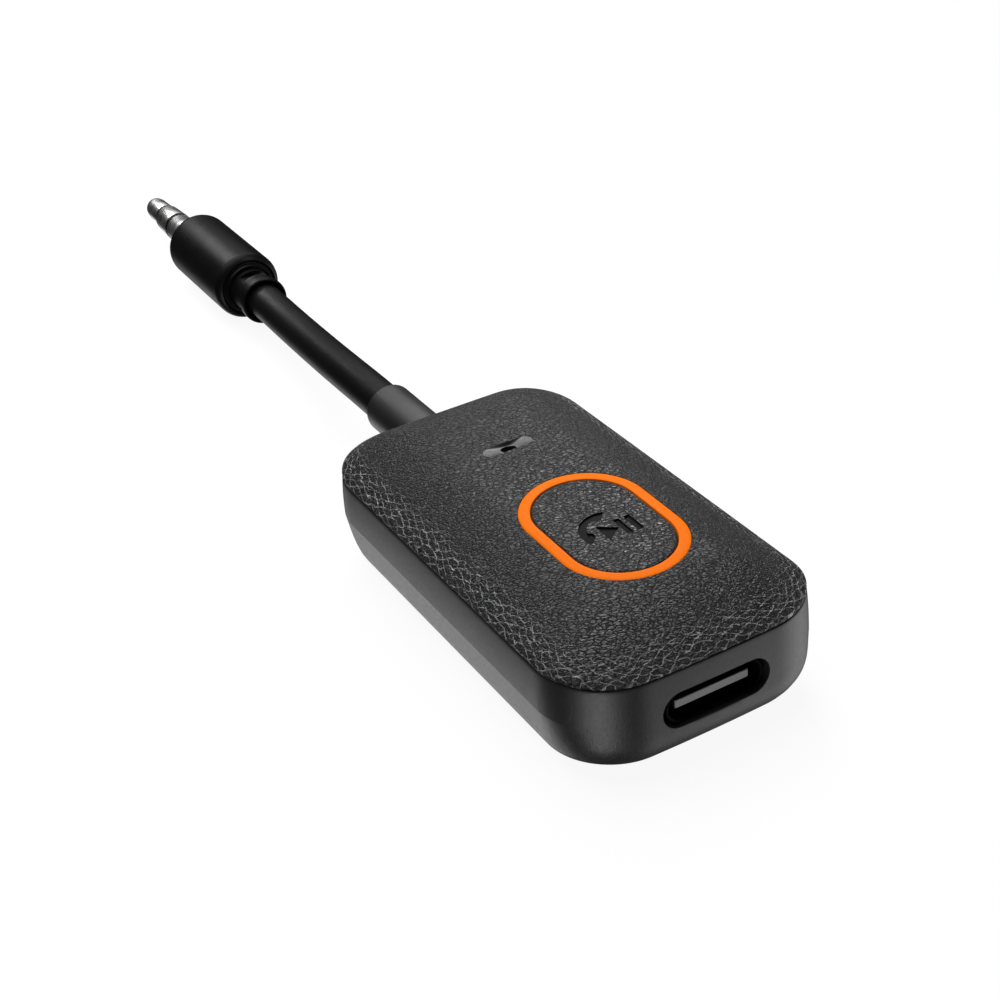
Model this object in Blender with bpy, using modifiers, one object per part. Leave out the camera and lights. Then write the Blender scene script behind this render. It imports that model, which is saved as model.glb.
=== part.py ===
"""Bluetooth audio receiver: a pillow-topped housing with a call and play button, a USB-C port at the front and a short
cable with a 3.5 mm plug at the back. Origin at the bottom centre of the housing, +Y towards the plug, +Z up."""

import math

import bmesh
import bpy

MM = 0.001

# Housing outline and heights, in millimetres
LENGTH = 44.2
WIDTH = 23.9
CORNER = 6.2
SMALLEST_CORNER = 0.8
CORNER_STEPS = 8
WALL = 1.3
FLOOR = 1.2
RIM_Z = 9.0
RIM_INSET = 0.25
SHOULDER_Z = 8.0
CREASE_Z = 5.46
FOOT_Z = 2.4
FOOT_INSET = 0.6
FOOT_ROUND = 3.0
FOOT_STEPS = 5
FLOOR_INSET = 3.6
FLOOR_CHAMFER_INSET = 2.3
FLOOR_CHAMFER = 0.5
TOUCHING_GAP = 0.05
CUT_PAST = 1.0
OVERLAP = 0.3

# Padded top: the leather lies over the top cover in one low dome
DOME_EDGE_Z = 9.1
DOME_EDGE_INSET = 0.28
DOME_TOP_Z = 12.9
DOME_REACH = 6.3
DOME_POWER = 1.35
DOME_STEPS = 8
LEATHER = 0.75
LEATHER_HEM = 0.75
COVER_SHEET = 1.1
COVER_INSET = 1.08
COVER_HOLLOW_INSET = 2.6
LEDGE_Z = 9.5

# Button and its orange ring
BUTTON_Y = -7.05
RING_HALF_WIDTH = 5.43
RING_HALF_LENGTH = 8.0
RING_BAND = 1.0
RING_SEAT_Z = 11.2
RING_SEAT_GAP = 0.07
FRAME_BORDER = 0.5
BUTTON_GAP = 0.13
BUTTON_FLANGE = 0.6
FLANGE_BOTTOM_Z = 9.4
FLANGE_TOP_Z = 9.9
FRAME_BOTTOM_Z = 10.0
BUTTON_STEM_RADIUS = 0.7
SMALL_SIDES = 16
SWITCH_SIDES = 24

# Circuit board, its posts and the parts soldered under it and over it
BOARD_BOTTOM_Z = 7.25
BOARD_TOP_Z = 8.05
BOARD_HALF_WIDTH = 10.1
BOARD_FRONT_Y = -20.2
BOARD_BACK_Y = 17.5
BOARD_CORNER = 3.6
BOARD_HOLE_GAP = 0.15
POSTS = ((-8.6, -15.8), (8.6, -15.8), (-8.0, 15.8), (8.0, 15.8))
POST_RADIUS = 1.1
PIN_RADIUS = 0.5
PIN_ABOVE_BOARD = 0.4
COMPONENT_BEVEL = 0.08

# Tactile switch on the board: the plunger stands on a round spring dome in the base's well
SWITCH_HALF_WIDTH = 2.0
SWITCH_HALF_LENGTH = 1.6
SWITCH_BEVEL = 0.12
SWITCH_TOP_Z = 8.8
SWITCH_WELL_Z = 8.18
SWITCH_WELL_RADIUS = 1.35
LID_Z = 8.83
LID_SHEET = 0.1
LID_HOLE_RADIUS = 0.95
SPRING_RADIUS = 1.2
SPRING_Z = 8.25
SPRING_TOP_Z = 8.33
SPRING_CROWN_RADIUS = 0.8
SPRING_CROWN_Z = 8.3
SPRING_CROWN_TOP_Z = 8.48
PLUNGER_FLANGE_RADIUS = 1.2
PLUNGER_FLANGE_Z = 8.56
PLUNGER_FLANGE_TOP_Z = 8.68
PLUNGER_STEM_RADIUS = 0.75
PLUNGER_STEM_Z = 8.6
PLUNGER_TOP_Z = 9.0

# Microphone, behind a pill-shaped insert in the leather
MIC_Y = 7.8
INSERT_HALF_LENGTH = 2.35
INSERT_HALF_WIDTH = 0.7
INSERT_BOTTOM_Z = 11.65
INSERT_TOP_Z = 12.75
INSERT_GAP = 0.05
INSERT_HOLE_HALF_LENGTH = 0.68
INSERT_HOLE_HALF_WIDTH = 0.4
MICROPHONE_HEIGHT = 0.9
GASKET_RADIUS = 1.4
SOUND_RADIUS = 0.5

# USB-C receptacle
PORT_Z = 5.55
PORT_HALF_WIDTH = 4.86
PORT_HALF_HEIGHT = 1.66
SHELL_HALF_WIDTH = 4.47
SHELL_HALF_HEIGHT = 1.58
SHELL_SHEET = 0.3
SHELL_FRONT_Y = -21.7
SHELL_BACK_Y = -14.3
TONGUE_HALF_WIDTH = 3.345
TONGUE_HALF_HEIGHT = 0.35
TONGUE_FRONT_Y = -21.35
TONGUE_ROOT_LENGTH = 1.6
TONGUE_ROOT_BACK_Y = -14.4
PORT_CUT = 3.0

# Battery
BATTERY_HALF_WIDTH = 9.0
BATTERY_FRONT_Y = -13.0
BATTERY_BACK_Y = 13.2
BATTERY_BOTTOM_Z = 1.65
BATTERY_TOP_Z = 5.8
BATTERY_BEVEL = 0.5
PAD_HALF_WIDTH = 7.5
PAD_HALF_LENGTH = 11.0
BATTERY_BOARD_Y = 13.3
BATTERY_BOARD_SHEET = 0.9
BATTERY_BOARD_HALF_WIDTH = 5.0
BATTERY_BOARD_LOW_Z = 3.0
BATTERY_BOARD_HIGH_Z = 5.4
LEAD_RADIUS = 0.3
LEAD_BENDS = ((14.6, 4.2), (15.3, 4.6), (15.5, 5.6), (15.3, 6.7))
RED_LEAD_X = -4.4
BLACK_LEAD_X = -2.8
INNER_WIRE_SPAN_POINTS = 3

# Cable gland: a flange behind the back wall and a sleeve outside it
CABLE_Z = 5.9
CABLE_RADIUS = 1.95
GLAND_RADIUS = 2.45
GLAND_SHOULDER = 0.45
GLAND_HOLE_RADIUS = 2.6
GLAND_END_Y = 31.8
GLAND_FLANGE_RADIUS = 3.1
GLAND_FLANGE_BACK_Y = 20.15
GLAND_FLANGE_FRONT_Y = 19.1
GLAND_NOSE_RADIUS = 2.8
GLAND_NOSE_Y = 18.8
SIGNAL_WIRE_X = 1.2
SIGNAL_WIRE_RADIUS = 0.32

# Plug: its boot lies on the ground, level
PLUG_X = 1.42
PLUG_Z = 3.9
COLLAR_Y = 65.3
COLLAR_RADIUS = 2.4
COLLAR_LIP_RADIUS = 2.65
COLLAR_LIP = 0.9
COLLAR_EDGE = 0.15
COLLAR_SLOT_HALF_WIDTH = 1.9
COLLAR_SLOT_FRONT_Y = 68.45
COLLAR_SLOT_REAR_Y = 67.4
COLLAR_SLOT_BOTTOM = 1.45
COLLAR_SLOT_TOP = 3.0
BOOT_REAR_Y = 69.35
BOOT_FRONT_Y = 85.65
BOOT_RADIUS = 3.85
BOOT_BORE = 1.8
BOOT_FRONT_ROUND = 1.3
BOOT_REAR_ROUND = 1.4
BOOT_REAR_TURN = -75
BOOT_STEP = 0.3
BOOT_STEP_RADIUS = 2.75
BOOT_SOCKET_RADIUS = 2.6
JACK_RADIUS = 1.75
JACK_INNER_Y = 82.75
REAR_INSULATOR_Y = 91.15
FRONT_INSULATOR_Y = 95.2
INSULATOR_WIDTH = 0.65
REAR_INSULATOR_RADIUS = 1.7
JACK_RING_REAR_RADIUS = 1.74
JACK_RING_FRONT_RADIUS = 1.58
FRONT_INSULATOR_REAR_RADIUS = 1.44
FRONT_INSULATOR_RADIUS = 1.38
JACK_TIP_RADIUS = 1.4
JACK_NOSE = ((0.0, 0.7), (0.25, 1.0), (0.8, 1.28))
JACK_GAP = 0.02
JACK_TIP_Y = 99.9
CABLE_ROUTE = (
    (0.0, 32.05, 5.9),
    (0.0, 36.0, 5.88),
    (0.1, 41.0, 5.64),
    (0.42, 46.5, 5.13),
    (0.84, 52.0, 4.55),
    (1.2, 58.0, 4.1),
    (1.38, 61.9, 3.93),
    (1.42, 65.05, 3.9),
)
CABLE_POINTS_PER_SPAN = 2

TURN_STEPS = 32


def new_collection(name, hidden):
    collection = bpy.data.collections.new(name)
    bpy.context.scene.collection.children.link(collection)
    collection.hide_render = hidden
    return collection


def clear_scene():
    for old in list(bpy.data.objects):
        bpy.data.objects.remove(old, do_unlink=True)


clear_scene()
PARTS = new_collection("bluetooth_audio_receiver", hidden=False)
CUTTERS = new_collection("cutters", hidden=True)


def place(obj, collection):
    for owner in list(obj.users_collection):
        owner.objects.unlink(obj)
    collection.objects.link(obj)
    return obj


def make_material(name, color, roughness, metallic=0.0):
    material = bpy.data.materials.new(name)
    material.use_nodes = True
    shader = material.node_tree.nodes["Principled BSDF"]
    shader.inputs["Base Color"].default_value = (*color, 1.0)
    shader.inputs["Roughness"].default_value = roughness
    shader.inputs["Metallic"].default_value = metallic
    material.diffuse_color = (*color, 1.0)
    return material


CASE_PLASTIC = make_material("case_plastic", (0.016, 0.016, 0.017), 0.52)
LEATHER_SKIN = make_material("leather", (0.022, 0.021, 0.021), 0.58)
RING_PLASTIC = make_material("orange_plastic", (0.95, 0.19, 0.006), 0.4)
BOOT_PLASTIC = make_material("boot_plastic", (0.014, 0.014, 0.015), 0.4)
CABLE_JACKET = make_material("cable_jacket", (0.014, 0.014, 0.015), 0.45)
NICKEL = make_material("nickel", (0.78, 0.77, 0.75), 0.18, 1.0)
BLACK_INSULATOR = make_material("insulator", (0.01, 0.01, 0.01), 0.45)
PORT_STEEL = make_material("port_steel", (0.08, 0.08, 0.085), 0.35, 1.0)
PORT_MOULDING = make_material("port_moulding", (0.09, 0.09, 0.095), 0.5)
BOARD = make_material("board", (0.01, 0.07, 0.03), 0.45)
CHIP_EPOXY = make_material("chip_epoxy", (0.02, 0.02, 0.022), 0.5)
SWITCH_STEEL = make_material("switch_steel", (0.7, 0.7, 0.7), 0.3, 1.0)
CERAMIC = make_material("ceramic", (0.75, 0.74, 0.7), 0.4)
BATTERY_FOIL = make_material("battery_foil", (0.6, 0.61, 0.63), 0.35, 1.0)
FOAM = make_material("foam", (0.03, 0.03, 0.03), 0.9)
RED_WIRE = make_material("red_wire", (0.6, 0.02, 0.015), 0.45)
WHITE_WIRE = make_material("white_wire", (0.8, 0.8, 0.78), 0.45)
COPPER = make_material("copper", (0.8, 0.36, 0.2), 0.3, 1.0)


def rounded_outline(half_width, half_length, corner, center_y=0.0):
    """Corner points of a rectangle with round corners, anticlockwise seen from above."""
    corner = min(corner, half_width, half_length)
    points = []
    for turn, (side_x, side_y) in enumerate(((1, 1), (-1, 1), (-1, -1), (1, -1))):
        middle_x = side_x * (half_width - corner)
        middle_y = side_y * (half_length - corner) + center_y
        for step in range(CORNER_STEPS + 1):
            angle = math.pi / 2 * (turn + step / CORNER_STEPS)
            points.append((middle_x + corner * math.cos(angle), middle_y + corner * math.sin(angle)))
    return points


def stadium(half_width, half_length, center_y=0.0):
    """A stadium, with its ends a hair short of full half circles so that no two points meet."""
    return rounded_outline(half_width, half_length, min(half_width, half_length) - 0.01, center_y)


def housing_outline(inset):
    corner = max(CORNER - inset, SMALLEST_CORNER)
    return rounded_outline(WIDTH / 2 - inset, LENGTH / 2 - inset, corner)


def finish(obj, material):
    obj.data.materials.clear()
    obj.data.materials.append(material)
    return place(obj, PARTS)


def as_cutter(obj):
    obj.hide_render = True
    obj.display_type = "WIRE"
    return place(obj, CUTTERS)


def mesh_object(name, mesh):
    obj = bpy.data.objects.new(name, mesh)
    CUTTERS.objects.link(obj)
    return obj


def loft(name, levels):
    """A closed solid through outlines of equal point counts, listed as (outline, z) from the bottom up."""
    shape = bmesh.new()
    rings = [[shape.verts.new((x * MM, y * MM, z * MM)) for x, y in outline] for outline, z in levels]
    for low, high in zip(rings, rings[1:]):
        for i in range(len(low)):
            j = (i + 1) % len(low)
            shape.faces.new((low[i], low[j], high[j], high[i]))
    shape.faces.new(tuple(reversed(rings[0])))
    shape.faces.new(tuple(rings[-1]))
    mesh = bpy.data.meshes.new(name)
    shape.to_mesh(mesh)
    shape.free()
    return mesh_object(name, mesh)


def to_mesh_object(curve_object, name):
    """Replaces a curve object by a mesh object of the same shape, its caps welded on."""
    graph = bpy.context.evaluated_depsgraph_get()
    mesh = bpy.data.meshes.new_from_object(curve_object.evaluated_get(graph))
    matrix = curve_object.matrix_world.copy()
    bpy.data.objects.remove(curve_object, do_unlink=True)
    shape = bmesh.new()
    shape.from_mesh(mesh)
    bmesh.ops.remove_doubles(shape, verts=shape.verts, dist=1e-7)
    bmesh.ops.recalc_face_normals(shape, faces=shape.faces)
    shape.to_mesh(mesh)
    shape.free()
    obj = mesh_object(name, mesh)
    obj.matrix_world = matrix
    return obj


def plate(name, outline, bottom_z, top_z):
    """A flat outline given a thickness, from bottom_z to top_z."""
    curve = bpy.data.curves.new(name, "CURVE")
    curve.dimensions = "2D"
    curve.fill_mode = "BOTH"
    curve.extrude = (top_z - bottom_z) / 2 * MM
    spline = curve.splines.new("POLY")
    spline.points.add(len(outline) - 1)
    for point, (x, y) in zip(spline.points, outline):
        point.co = (x * MM, y * MM, 0, 1)
    spline.use_cyclic_u = True
    flat = bpy.data.objects.new(name, curve)
    CUTTERS.objects.link(flat)
    flat.location.z = (top_z + bottom_z) / 2 * MM
    bpy.context.view_layer.update()
    return to_mesh_object(flat, name)


def box(name, low, high, bevel=0.0):
    size = [(b - a) * MM for a, b in zip(low, high)]
    shape = bmesh.new()
    bmesh.ops.create_cube(shape, size=1.0)
    bmesh.ops.scale(shape, vec=size, verts=shape.verts)
    if bevel:
        edges = [edge for edge in shape.edges]
        bmesh.ops.bevel(shape, geom=edges, offset=bevel * MM, segments=1, affect="EDGES")
    mesh = bpy.data.meshes.new(name)
    shape.to_mesh(mesh)
    shape.free()
    obj = mesh_object(name, mesh)
    obj.location = [(a + b) / 2 * MM for a, b in zip(low, high)]
    return obj


def round_bar(name, radius, start, end, sides=TURN_STEPS):
    """A cylinder between two points that lie along one of the axes."""
    length = math.dist(start, end)
    shape = bmesh.new()
    bmesh.ops.create_cone(
        shape, cap_ends=True, segments=sides, radius1=radius * MM, radius2=radius * MM, depth=length * MM
    )
    mesh = bpy.data.meshes.new(name)
    shape.to_mesh(mesh)
    shape.free()
    obj = mesh_object(name, mesh)
    obj.location = [(a + b) / 2 * MM for a, b in zip(start, end)]
    if start[1] != end[1]:
        obj.rotation_euler.x = -math.pi / 2
    return obj


def turned(name, profile, center_x, center_z):
    """A profile of (y, radius) points turned about an axis along Y, from the plug end to the housing end.

    It starts and ends on the axis.
    """
    mesh = bpy.data.meshes.new(name)
    points = [(radius * MM, 0, y * MM) for y, radius in profile]
    edges = [(i, i + 1) for i in range(len(points) - 1)]
    mesh.from_pydata(points, edges, [])
    obj = mesh_object(name, mesh)
    screw = obj.modifiers.new("turn", "SCREW")
    screw.steps = TURN_STEPS
    screw.render_steps = TURN_STEPS
    screw.use_merge_vertices = True
    screw.merge_threshold = 1e-5
    obj.rotation_euler.x = -math.pi / 2
    obj.location = (center_x * MM, 0, center_z * MM)
    return obj


def combine(obj, other, operation):
    as_cutter(other)
    modifier = obj.modifiers.new(other.name, "BOOLEAN")
    modifier.operation = operation
    modifier.solver = "EXACT"
    modifier.object = other
    return obj


def cut(obj, other):
    return combine(obj, other, "DIFFERENCE")


def join(obj, other):
    return combine(obj, other, "UNION")


def wire(name, route, radius, material):
    """A round wire through points given in millimetres."""
    curve = bpy.data.curves.new(name, "CURVE")
    curve.dimensions = "3D"
    curve.bevel_depth = radius * MM
    curve.bevel_resolution = 2
    curve.use_fill_caps = True
    spline = curve.splines.new("POLY")
    spline.points.add(len(route) - 1)
    for point, (x, y, z) in zip(spline.points, route):
        point.co = (x * MM, y * MM, z * MM, 1)
    obj = bpy.data.objects.new(name, curve)
    obj.data.materials.append(material)
    PARTS.objects.link(obj)
    return obj


def smooth_route(points, per_span):
    """Points on a Catmull-Rom curve through the route's own points."""
    padded = [points[0], *points, points[-1]]
    route = []
    for before, start, end, after in zip(padded, padded[1:], padded[2:], padded[3:]):
        for step in range(per_span):
            t = step / per_span
            weights = (
                -0.5 * t + t**2 - 0.5 * t**3,
                1 - 2.5 * t**2 + 1.5 * t**3,
                0.5 * t + 2 * t**2 - 1.5 * t**3,
                -0.5 * t**2 + 0.5 * t**3,
            )
            corners = (before, start, end, after)
            route.append(tuple(sum(w * c[k] for w, c in zip(weights, corners)) for k in range(3)))
    return [*route, points[-1]]


def dome_height(reach):
    """Height of the leather's outer face at this distance inside its edge."""
    share = min(max(reach / DOME_REACH, 0.0), 1.0)
    return DOME_EDGE_Z + (DOME_TOP_Z - DOME_EDGE_Z) * (1 - (1 - share) ** DOME_POWER) ** (1 / DOME_POWER)


def dome_levels(inset, drop, bottom_z, ledge_z=None):
    """Levels of a dome that lies drop below the leather's face, its upright side at this inset."""
    reaches = [DOME_REACH * (1 - math.cos(math.pi / 2 * step / DOME_STEPS)) for step in range(DOME_STEPS + 1)]
    levels = [(housing_outline(inset), bottom_z)]
    if ledge_z is not None:
        levels.append((housing_outline(inset), ledge_z))
    lowest = bottom_z if ledge_z is None else ledge_z
    for reach in reaches:
        z = dome_height(reach) - drop
        if z > lowest + TOUCHING_GAP:
            levels.append((housing_outline(max(inset, DOME_EDGE_INSET + drop / 2) + reach), z))
    return levels


def foot_levels():
    """The rounded bottom edge, from the flat underside up to the tilted lower band of the sides."""
    levels = []
    for step in range(FOOT_STEPS + 1):
        angle = math.pi / 2 * (1 - step / FOOT_STEPS)
        inset = FOOT_INSET + FOOT_ROUND * (1 - math.cos(angle))
        levels.append((housing_outline(inset), FOOT_Z * (1 - math.sin(angle))))
    return levels


def fillet(center_y, center_radius, size, start_degrees, end_degrees, steps=4):
    """Points of a rounded edge on a turned profile, as (y, radius)."""
    points = []
    for step in range(steps + 1):
        angle = math.radians(start_degrees + (end_degrees - start_degrees) * step / steps)
        points.append((center_y + size * math.sin(angle), center_radius + size * math.cos(angle)))
    return points


def make_lower_case():
    upper = [
        (housing_outline(0.0), CREASE_Z),
        (housing_outline(0.0), SHOULDER_Z),
        (housing_outline(RIM_INSET), RIM_Z),
    ]
    case = loft("lower_case", foot_levels() + upper)
    hollow = [
        (housing_outline(FLOOR_INSET), FLOOR),
        (housing_outline(FLOOR_CHAMFER_INSET), FLOOR + FLOOR_CHAMFER),
        (housing_outline(WALL + FOOT_INSET), FOOT_Z),
        (housing_outline(WALL), CREASE_Z),
        (housing_outline(WALL), RIM_Z + CUT_PAST),
    ]
    cut(case, loft("case_hollow", hollow))
    for index, (x, y) in enumerate(POSTS):
        post_ends = (x, y, FLOOR - OVERLAP), (x, y, BOARD_BOTTOM_Z - TOUCHING_GAP)
        join(case, round_bar(f"post_{index}", POST_RADIUS, *post_ends, SMALL_SIDES))
        pin_ends = (x, y, FLOOR), (x, y, BOARD_TOP_Z + PIN_ABOVE_BOARD)
        join(case, round_bar(f"pin_{index}", PIN_RADIUS, *pin_ends, SMALL_SIDES))
    port = plate("port_cutter", stadium(PORT_HALF_WIDTH, PORT_HALF_HEIGHT), -PORT_CUT, PORT_CUT)
    port.rotation_euler.x = math.pi / 2
    port.location = (0, -LENGTH / 2 * MM, PORT_Z * MM)
    cut(case, port)
    hole_ends = (0, LENGTH / 2 - PORT_CUT, CABLE_Z), (0, LENGTH / 2 + PORT_CUT, CABLE_Z)
    cut(case, round_bar("cable_hole", GLAND_HOLE_RADIUS, *hole_ends))
    return finish(case, CASE_PLASTIC)


def make_top_cover():
    drop = LEATHER + TOUCHING_GAP
    above = DOME_TOP_Z + CUT_PAST
    cover = loft("top_cover", dome_levels(COVER_INSET, drop, RIM_Z + TOUCHING_GAP, LEDGE_Z - TOUCHING_GAP))
    hollow = dome_levels(COVER_HOLLOW_INSET, drop + COVER_SHEET, RIM_Z - CUT_PAST, LEDGE_Z)
    cut(cover, loft("cover_hollow", hollow))
    frame = stadium(RING_HALF_WIDTH + FRAME_BORDER, RING_HALF_LENGTH + FRAME_BORDER, BUTTON_Y)
    join(cover, plate("button_frame", frame, FRAME_BOTTOM_Z, RING_SEAT_Z + OVERLAP))
    seat = stadium(RING_HALF_WIDTH + RING_SEAT_GAP, RING_HALF_LENGTH + RING_SEAT_GAP, BUTTON_Y)
    cut(cover, plate("ring_seat", seat, RING_SEAT_Z, above))
    opening = stadium(RING_HALF_WIDTH - RING_BAND, RING_HALF_LENGTH - RING_BAND, BUTTON_Y)
    cut(cover, plate("button_opening", opening, RIM_Z - CUT_PAST, above))
    pocket = stadium(INSERT_HALF_LENGTH + INSERT_GAP, INSERT_HALF_WIDTH + INSERT_GAP, MIC_Y)
    cut(cover, plate("insert_pocket", pocket, INSERT_BOTTOM_Z - TOUCHING_GAP, above))
    sound_ends = (0, MIC_Y, RIM_Z), (0, MIC_Y, DOME_TOP_Z)
    cut(cover, round_bar("cover_sound_hole", SOUND_RADIUS, *sound_ends, SMALL_SIDES))
    return finish(cover, CASE_PLASTIC)


def make_leather():
    skin = loft("leather_skin", dome_levels(DOME_EDGE_INSET, 0.0, DOME_EDGE_Z))
    hollow = dome_levels(DOME_EDGE_INSET + LEATHER_HEM, LEATHER, DOME_EDGE_Z - CUT_PAST, LEDGE_Z)
    cut(skin, loft("leather_hollow", hollow))
    hole = stadium(RING_HALF_WIDTH + TOUCHING_GAP, RING_HALF_LENGTH + TOUCHING_GAP, BUTTON_Y)
    cut(skin, plate("leather_ring_hole", hole, RIM_Z, DOME_TOP_Z + CUT_PAST))
    slot = stadium(INSERT_HALF_LENGTH + INSERT_GAP, INSERT_HALF_WIDTH + INSERT_GAP, MIC_Y)
    cut(skin, plate("leather_mic_slot", slot, RIM_Z + CUT_PAST, DOME_TOP_Z + CUT_PAST))
    return finish(skin, LEATHER_SKIN)


def make_ring():
    outer = stadium(RING_HALF_WIDTH, RING_HALF_LENGTH, BUTTON_Y)
    ring = plate("accent_ring", outer, RING_SEAT_Z + TOUCHING_GAP, DOME_TOP_Z)
    inner = stadium(RING_HALF_WIDTH - RING_BAND, RING_HALF_LENGTH - RING_BAND, BUTTON_Y)
    cut(ring, plate("ring_opening", inner, RING_SEAT_Z - CUT_PAST, DOME_TOP_Z + CUT_PAST))
    return finish(ring, RING_PLASTIC)


def make_button():
    half_width = RING_HALF_WIDTH - RING_BAND - BUTTON_GAP
    half_length = RING_HALF_LENGTH - RING_BAND - BUTTON_GAP
    leather_bottom = DOME_TOP_Z - LEATHER
    cap = plate("button_cap", stadium(half_width, half_length, BUTTON_Y), FLANGE_BOTTOM_Z, leather_bottom)
    flange = stadium(half_width + BUTTON_FLANGE, half_length + BUTTON_FLANGE, BUTTON_Y)
    join(cap, plate("button_flange", flange, FLANGE_BOTTOM_Z, FLANGE_TOP_Z))
    stem_ends = (0, BUTTON_Y, PLUNGER_TOP_Z + TOUCHING_GAP), (0, BUTTON_Y, FLANGE_TOP_Z)
    join(cap, round_bar("button_stem", BUTTON_STEM_RADIUS, *stem_ends, SMALL_SIDES))
    finish(cap, CASE_PLASTIC)
    pad_outline = stadium(half_width, half_length, BUTTON_Y)
    pad = plate("button_leather", pad_outline, leather_bottom + TOUCHING_GAP, DOME_TOP_Z)
    return finish(pad, LEATHER_SKIN)


def switch_disc(name, radius, low_z, high_z):
    return round_bar(name, radius, (0, BUTTON_Y, low_z), (0, BUTTON_Y, high_z), SWITCH_SIDES)


def switch_box(name, low_z, high_z, bevel=0.0):
    low = (-SWITCH_HALF_WIDTH, BUTTON_Y - SWITCH_HALF_LENGTH, low_z)
    high = (SWITCH_HALF_WIDTH, BUTTON_Y + SWITCH_HALF_LENGTH, high_z)
    return box(name, low, high, bevel)


def make_switch():
    above = SWITCH_TOP_Z + CUT_PAST
    base = switch_box("switch_base", BOARD_TOP_Z + TOUCHING_GAP, SWITCH_TOP_Z, SWITCH_BEVEL)
    finish(cut(base, switch_disc("switch_well", SWITCH_WELL_RADIUS, SWITCH_WELL_Z, above)), CHIP_EPOXY)
    lid = switch_box("switch_lid", LID_Z, LID_Z + LID_SHEET)
    lid_hole = switch_disc("switch_lid_hole", LID_HOLE_RADIUS, SWITCH_TOP_Z - CUT_PAST, above)
    finish(cut(lid, lid_hole), SWITCH_STEEL)
    dome = switch_disc("switch_dome", SPRING_RADIUS, SPRING_Z, SPRING_TOP_Z)
    crown = switch_disc("switch_dome_crown", SPRING_CROWN_RADIUS, SPRING_CROWN_Z, SPRING_CROWN_TOP_Z)
    finish(join(dome, crown), SWITCH_STEEL)
    plunger = switch_disc("switch_plunger", PLUNGER_FLANGE_RADIUS, PLUNGER_FLANGE_Z, PLUNGER_FLANGE_TOP_Z)
    stem = switch_disc("plunger_stem", PLUNGER_STEM_RADIUS, PLUNGER_STEM_Z, PLUNGER_TOP_Z)
    finish(join(plunger, stem), CHIP_EPOXY)


def make_board():
    middle_y = (BOARD_FRONT_Y + BOARD_BACK_Y) / 2
    half_length = (BOARD_BACK_Y - BOARD_FRONT_Y) / 2
    outline = rounded_outline(BOARD_HALF_WIDTH, half_length, BOARD_CORNER, middle_y)
    board = plate("main_board", outline, BOARD_BOTTOM_Z, BOARD_TOP_Z)
    for index, (x, y) in enumerate(POSTS):
        ends = (x, y, BOARD_BOTTOM_Z - CUT_PAST), (x, y, BOARD_TOP_Z + CUT_PAST)
        cut(board, round_bar(f"board_hole_{index}", PIN_RADIUS + BOARD_HOLE_GAP, *ends, SMALL_SIDES))
    return finish(board, BOARD)


def make_board_components():
    """Each component: its name, its box's front left and back right corners, its height, and its material."""
    above = BOARD_TOP_Z + TOUCHING_GAP
    below = BOARD_BOTTOM_Z - TOUCHING_GAP
    hanging = (
        ("bluetooth_chip", (-3.0, -7.0), (3.0, -1.0), 0.9, CHIP_EPOXY),
        ("charger_chip", (3.9, -10.6), (6.9, -7.6), 0.8, CHIP_EPOXY),
        ("power_inductor", (-7.4, -10.8), (-4.8, -8.6), 1.1, CHIP_EPOXY),
        ("crystal", (4.6, -4.8), (6.6, -3.2), 0.6, SWITCH_STEEL),
    )
    for name, low, high, height, material in hanging:
        finish(box(name, (*low, below - height), (*high, below), COMPONENT_BEVEL), material)
    standing = (
        ("antenna", (-8.9, 8.2), (-6.9, 14.2), 1.0, CERAMIC),
        ("microphone", (-1.4, MIC_Y - 0.95), (1.4, MIC_Y + 0.95), MICROPHONE_HEIGHT, SWITCH_STEEL),
        ("status_led", (1.9, MIC_Y - 0.5), (3.1, MIC_Y + 0.5), 0.6, CERAMIC),
    )
    for name, low, high, height, material in standing:
        finish(box(name, (*low, above), (*high, above + height), COMPONENT_BEVEL), material)


def make_microphone_path():
    gasket_low = BOARD_TOP_Z + MICROPHONE_HEIGHT + 2 * TOUCHING_GAP
    gasket_high = DOME_TOP_Z - LEATHER - COVER_SHEET - 2 * TOUCHING_GAP
    ends = (0, MIC_Y, gasket_low), (0, MIC_Y, gasket_high)
    gasket = round_bar("mic_gasket", GASKET_RADIUS, *ends, SWITCH_SIDES)
    bore_ends = (0, MIC_Y, gasket_low - CUT_PAST), (0, MIC_Y, gasket_high + CUT_PAST)
    cut(gasket, round_bar("gasket_bore", SOUND_RADIUS, *bore_ends, SMALL_SIDES))
    finish(gasket, FOAM)
    outline = stadium(INSERT_HALF_LENGTH, INSERT_HALF_WIDTH, MIC_Y)
    insert = plate("mic_insert", outline, INSERT_BOTTOM_Z, INSERT_TOP_Z)
    hole = stadium(INSERT_HOLE_HALF_LENGTH, INSERT_HOLE_HALF_WIDTH, MIC_Y)
    cut(insert, plate("insert_hole", hole, INSERT_BOTTOM_Z - CUT_PAST, INSERT_TOP_Z + CUT_PAST))
    return finish(insert, CASE_PLASTIC)


def lay_along_y(obj, front_y, back_y, center_z):
    """Turns a plate made about z = 0 so that its thickness runs along Y."""
    obj.rotation_euler.x = math.pi / 2
    obj.location = (0, (front_y + back_y) / 2 * MM, center_z * MM)
    return obj


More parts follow.
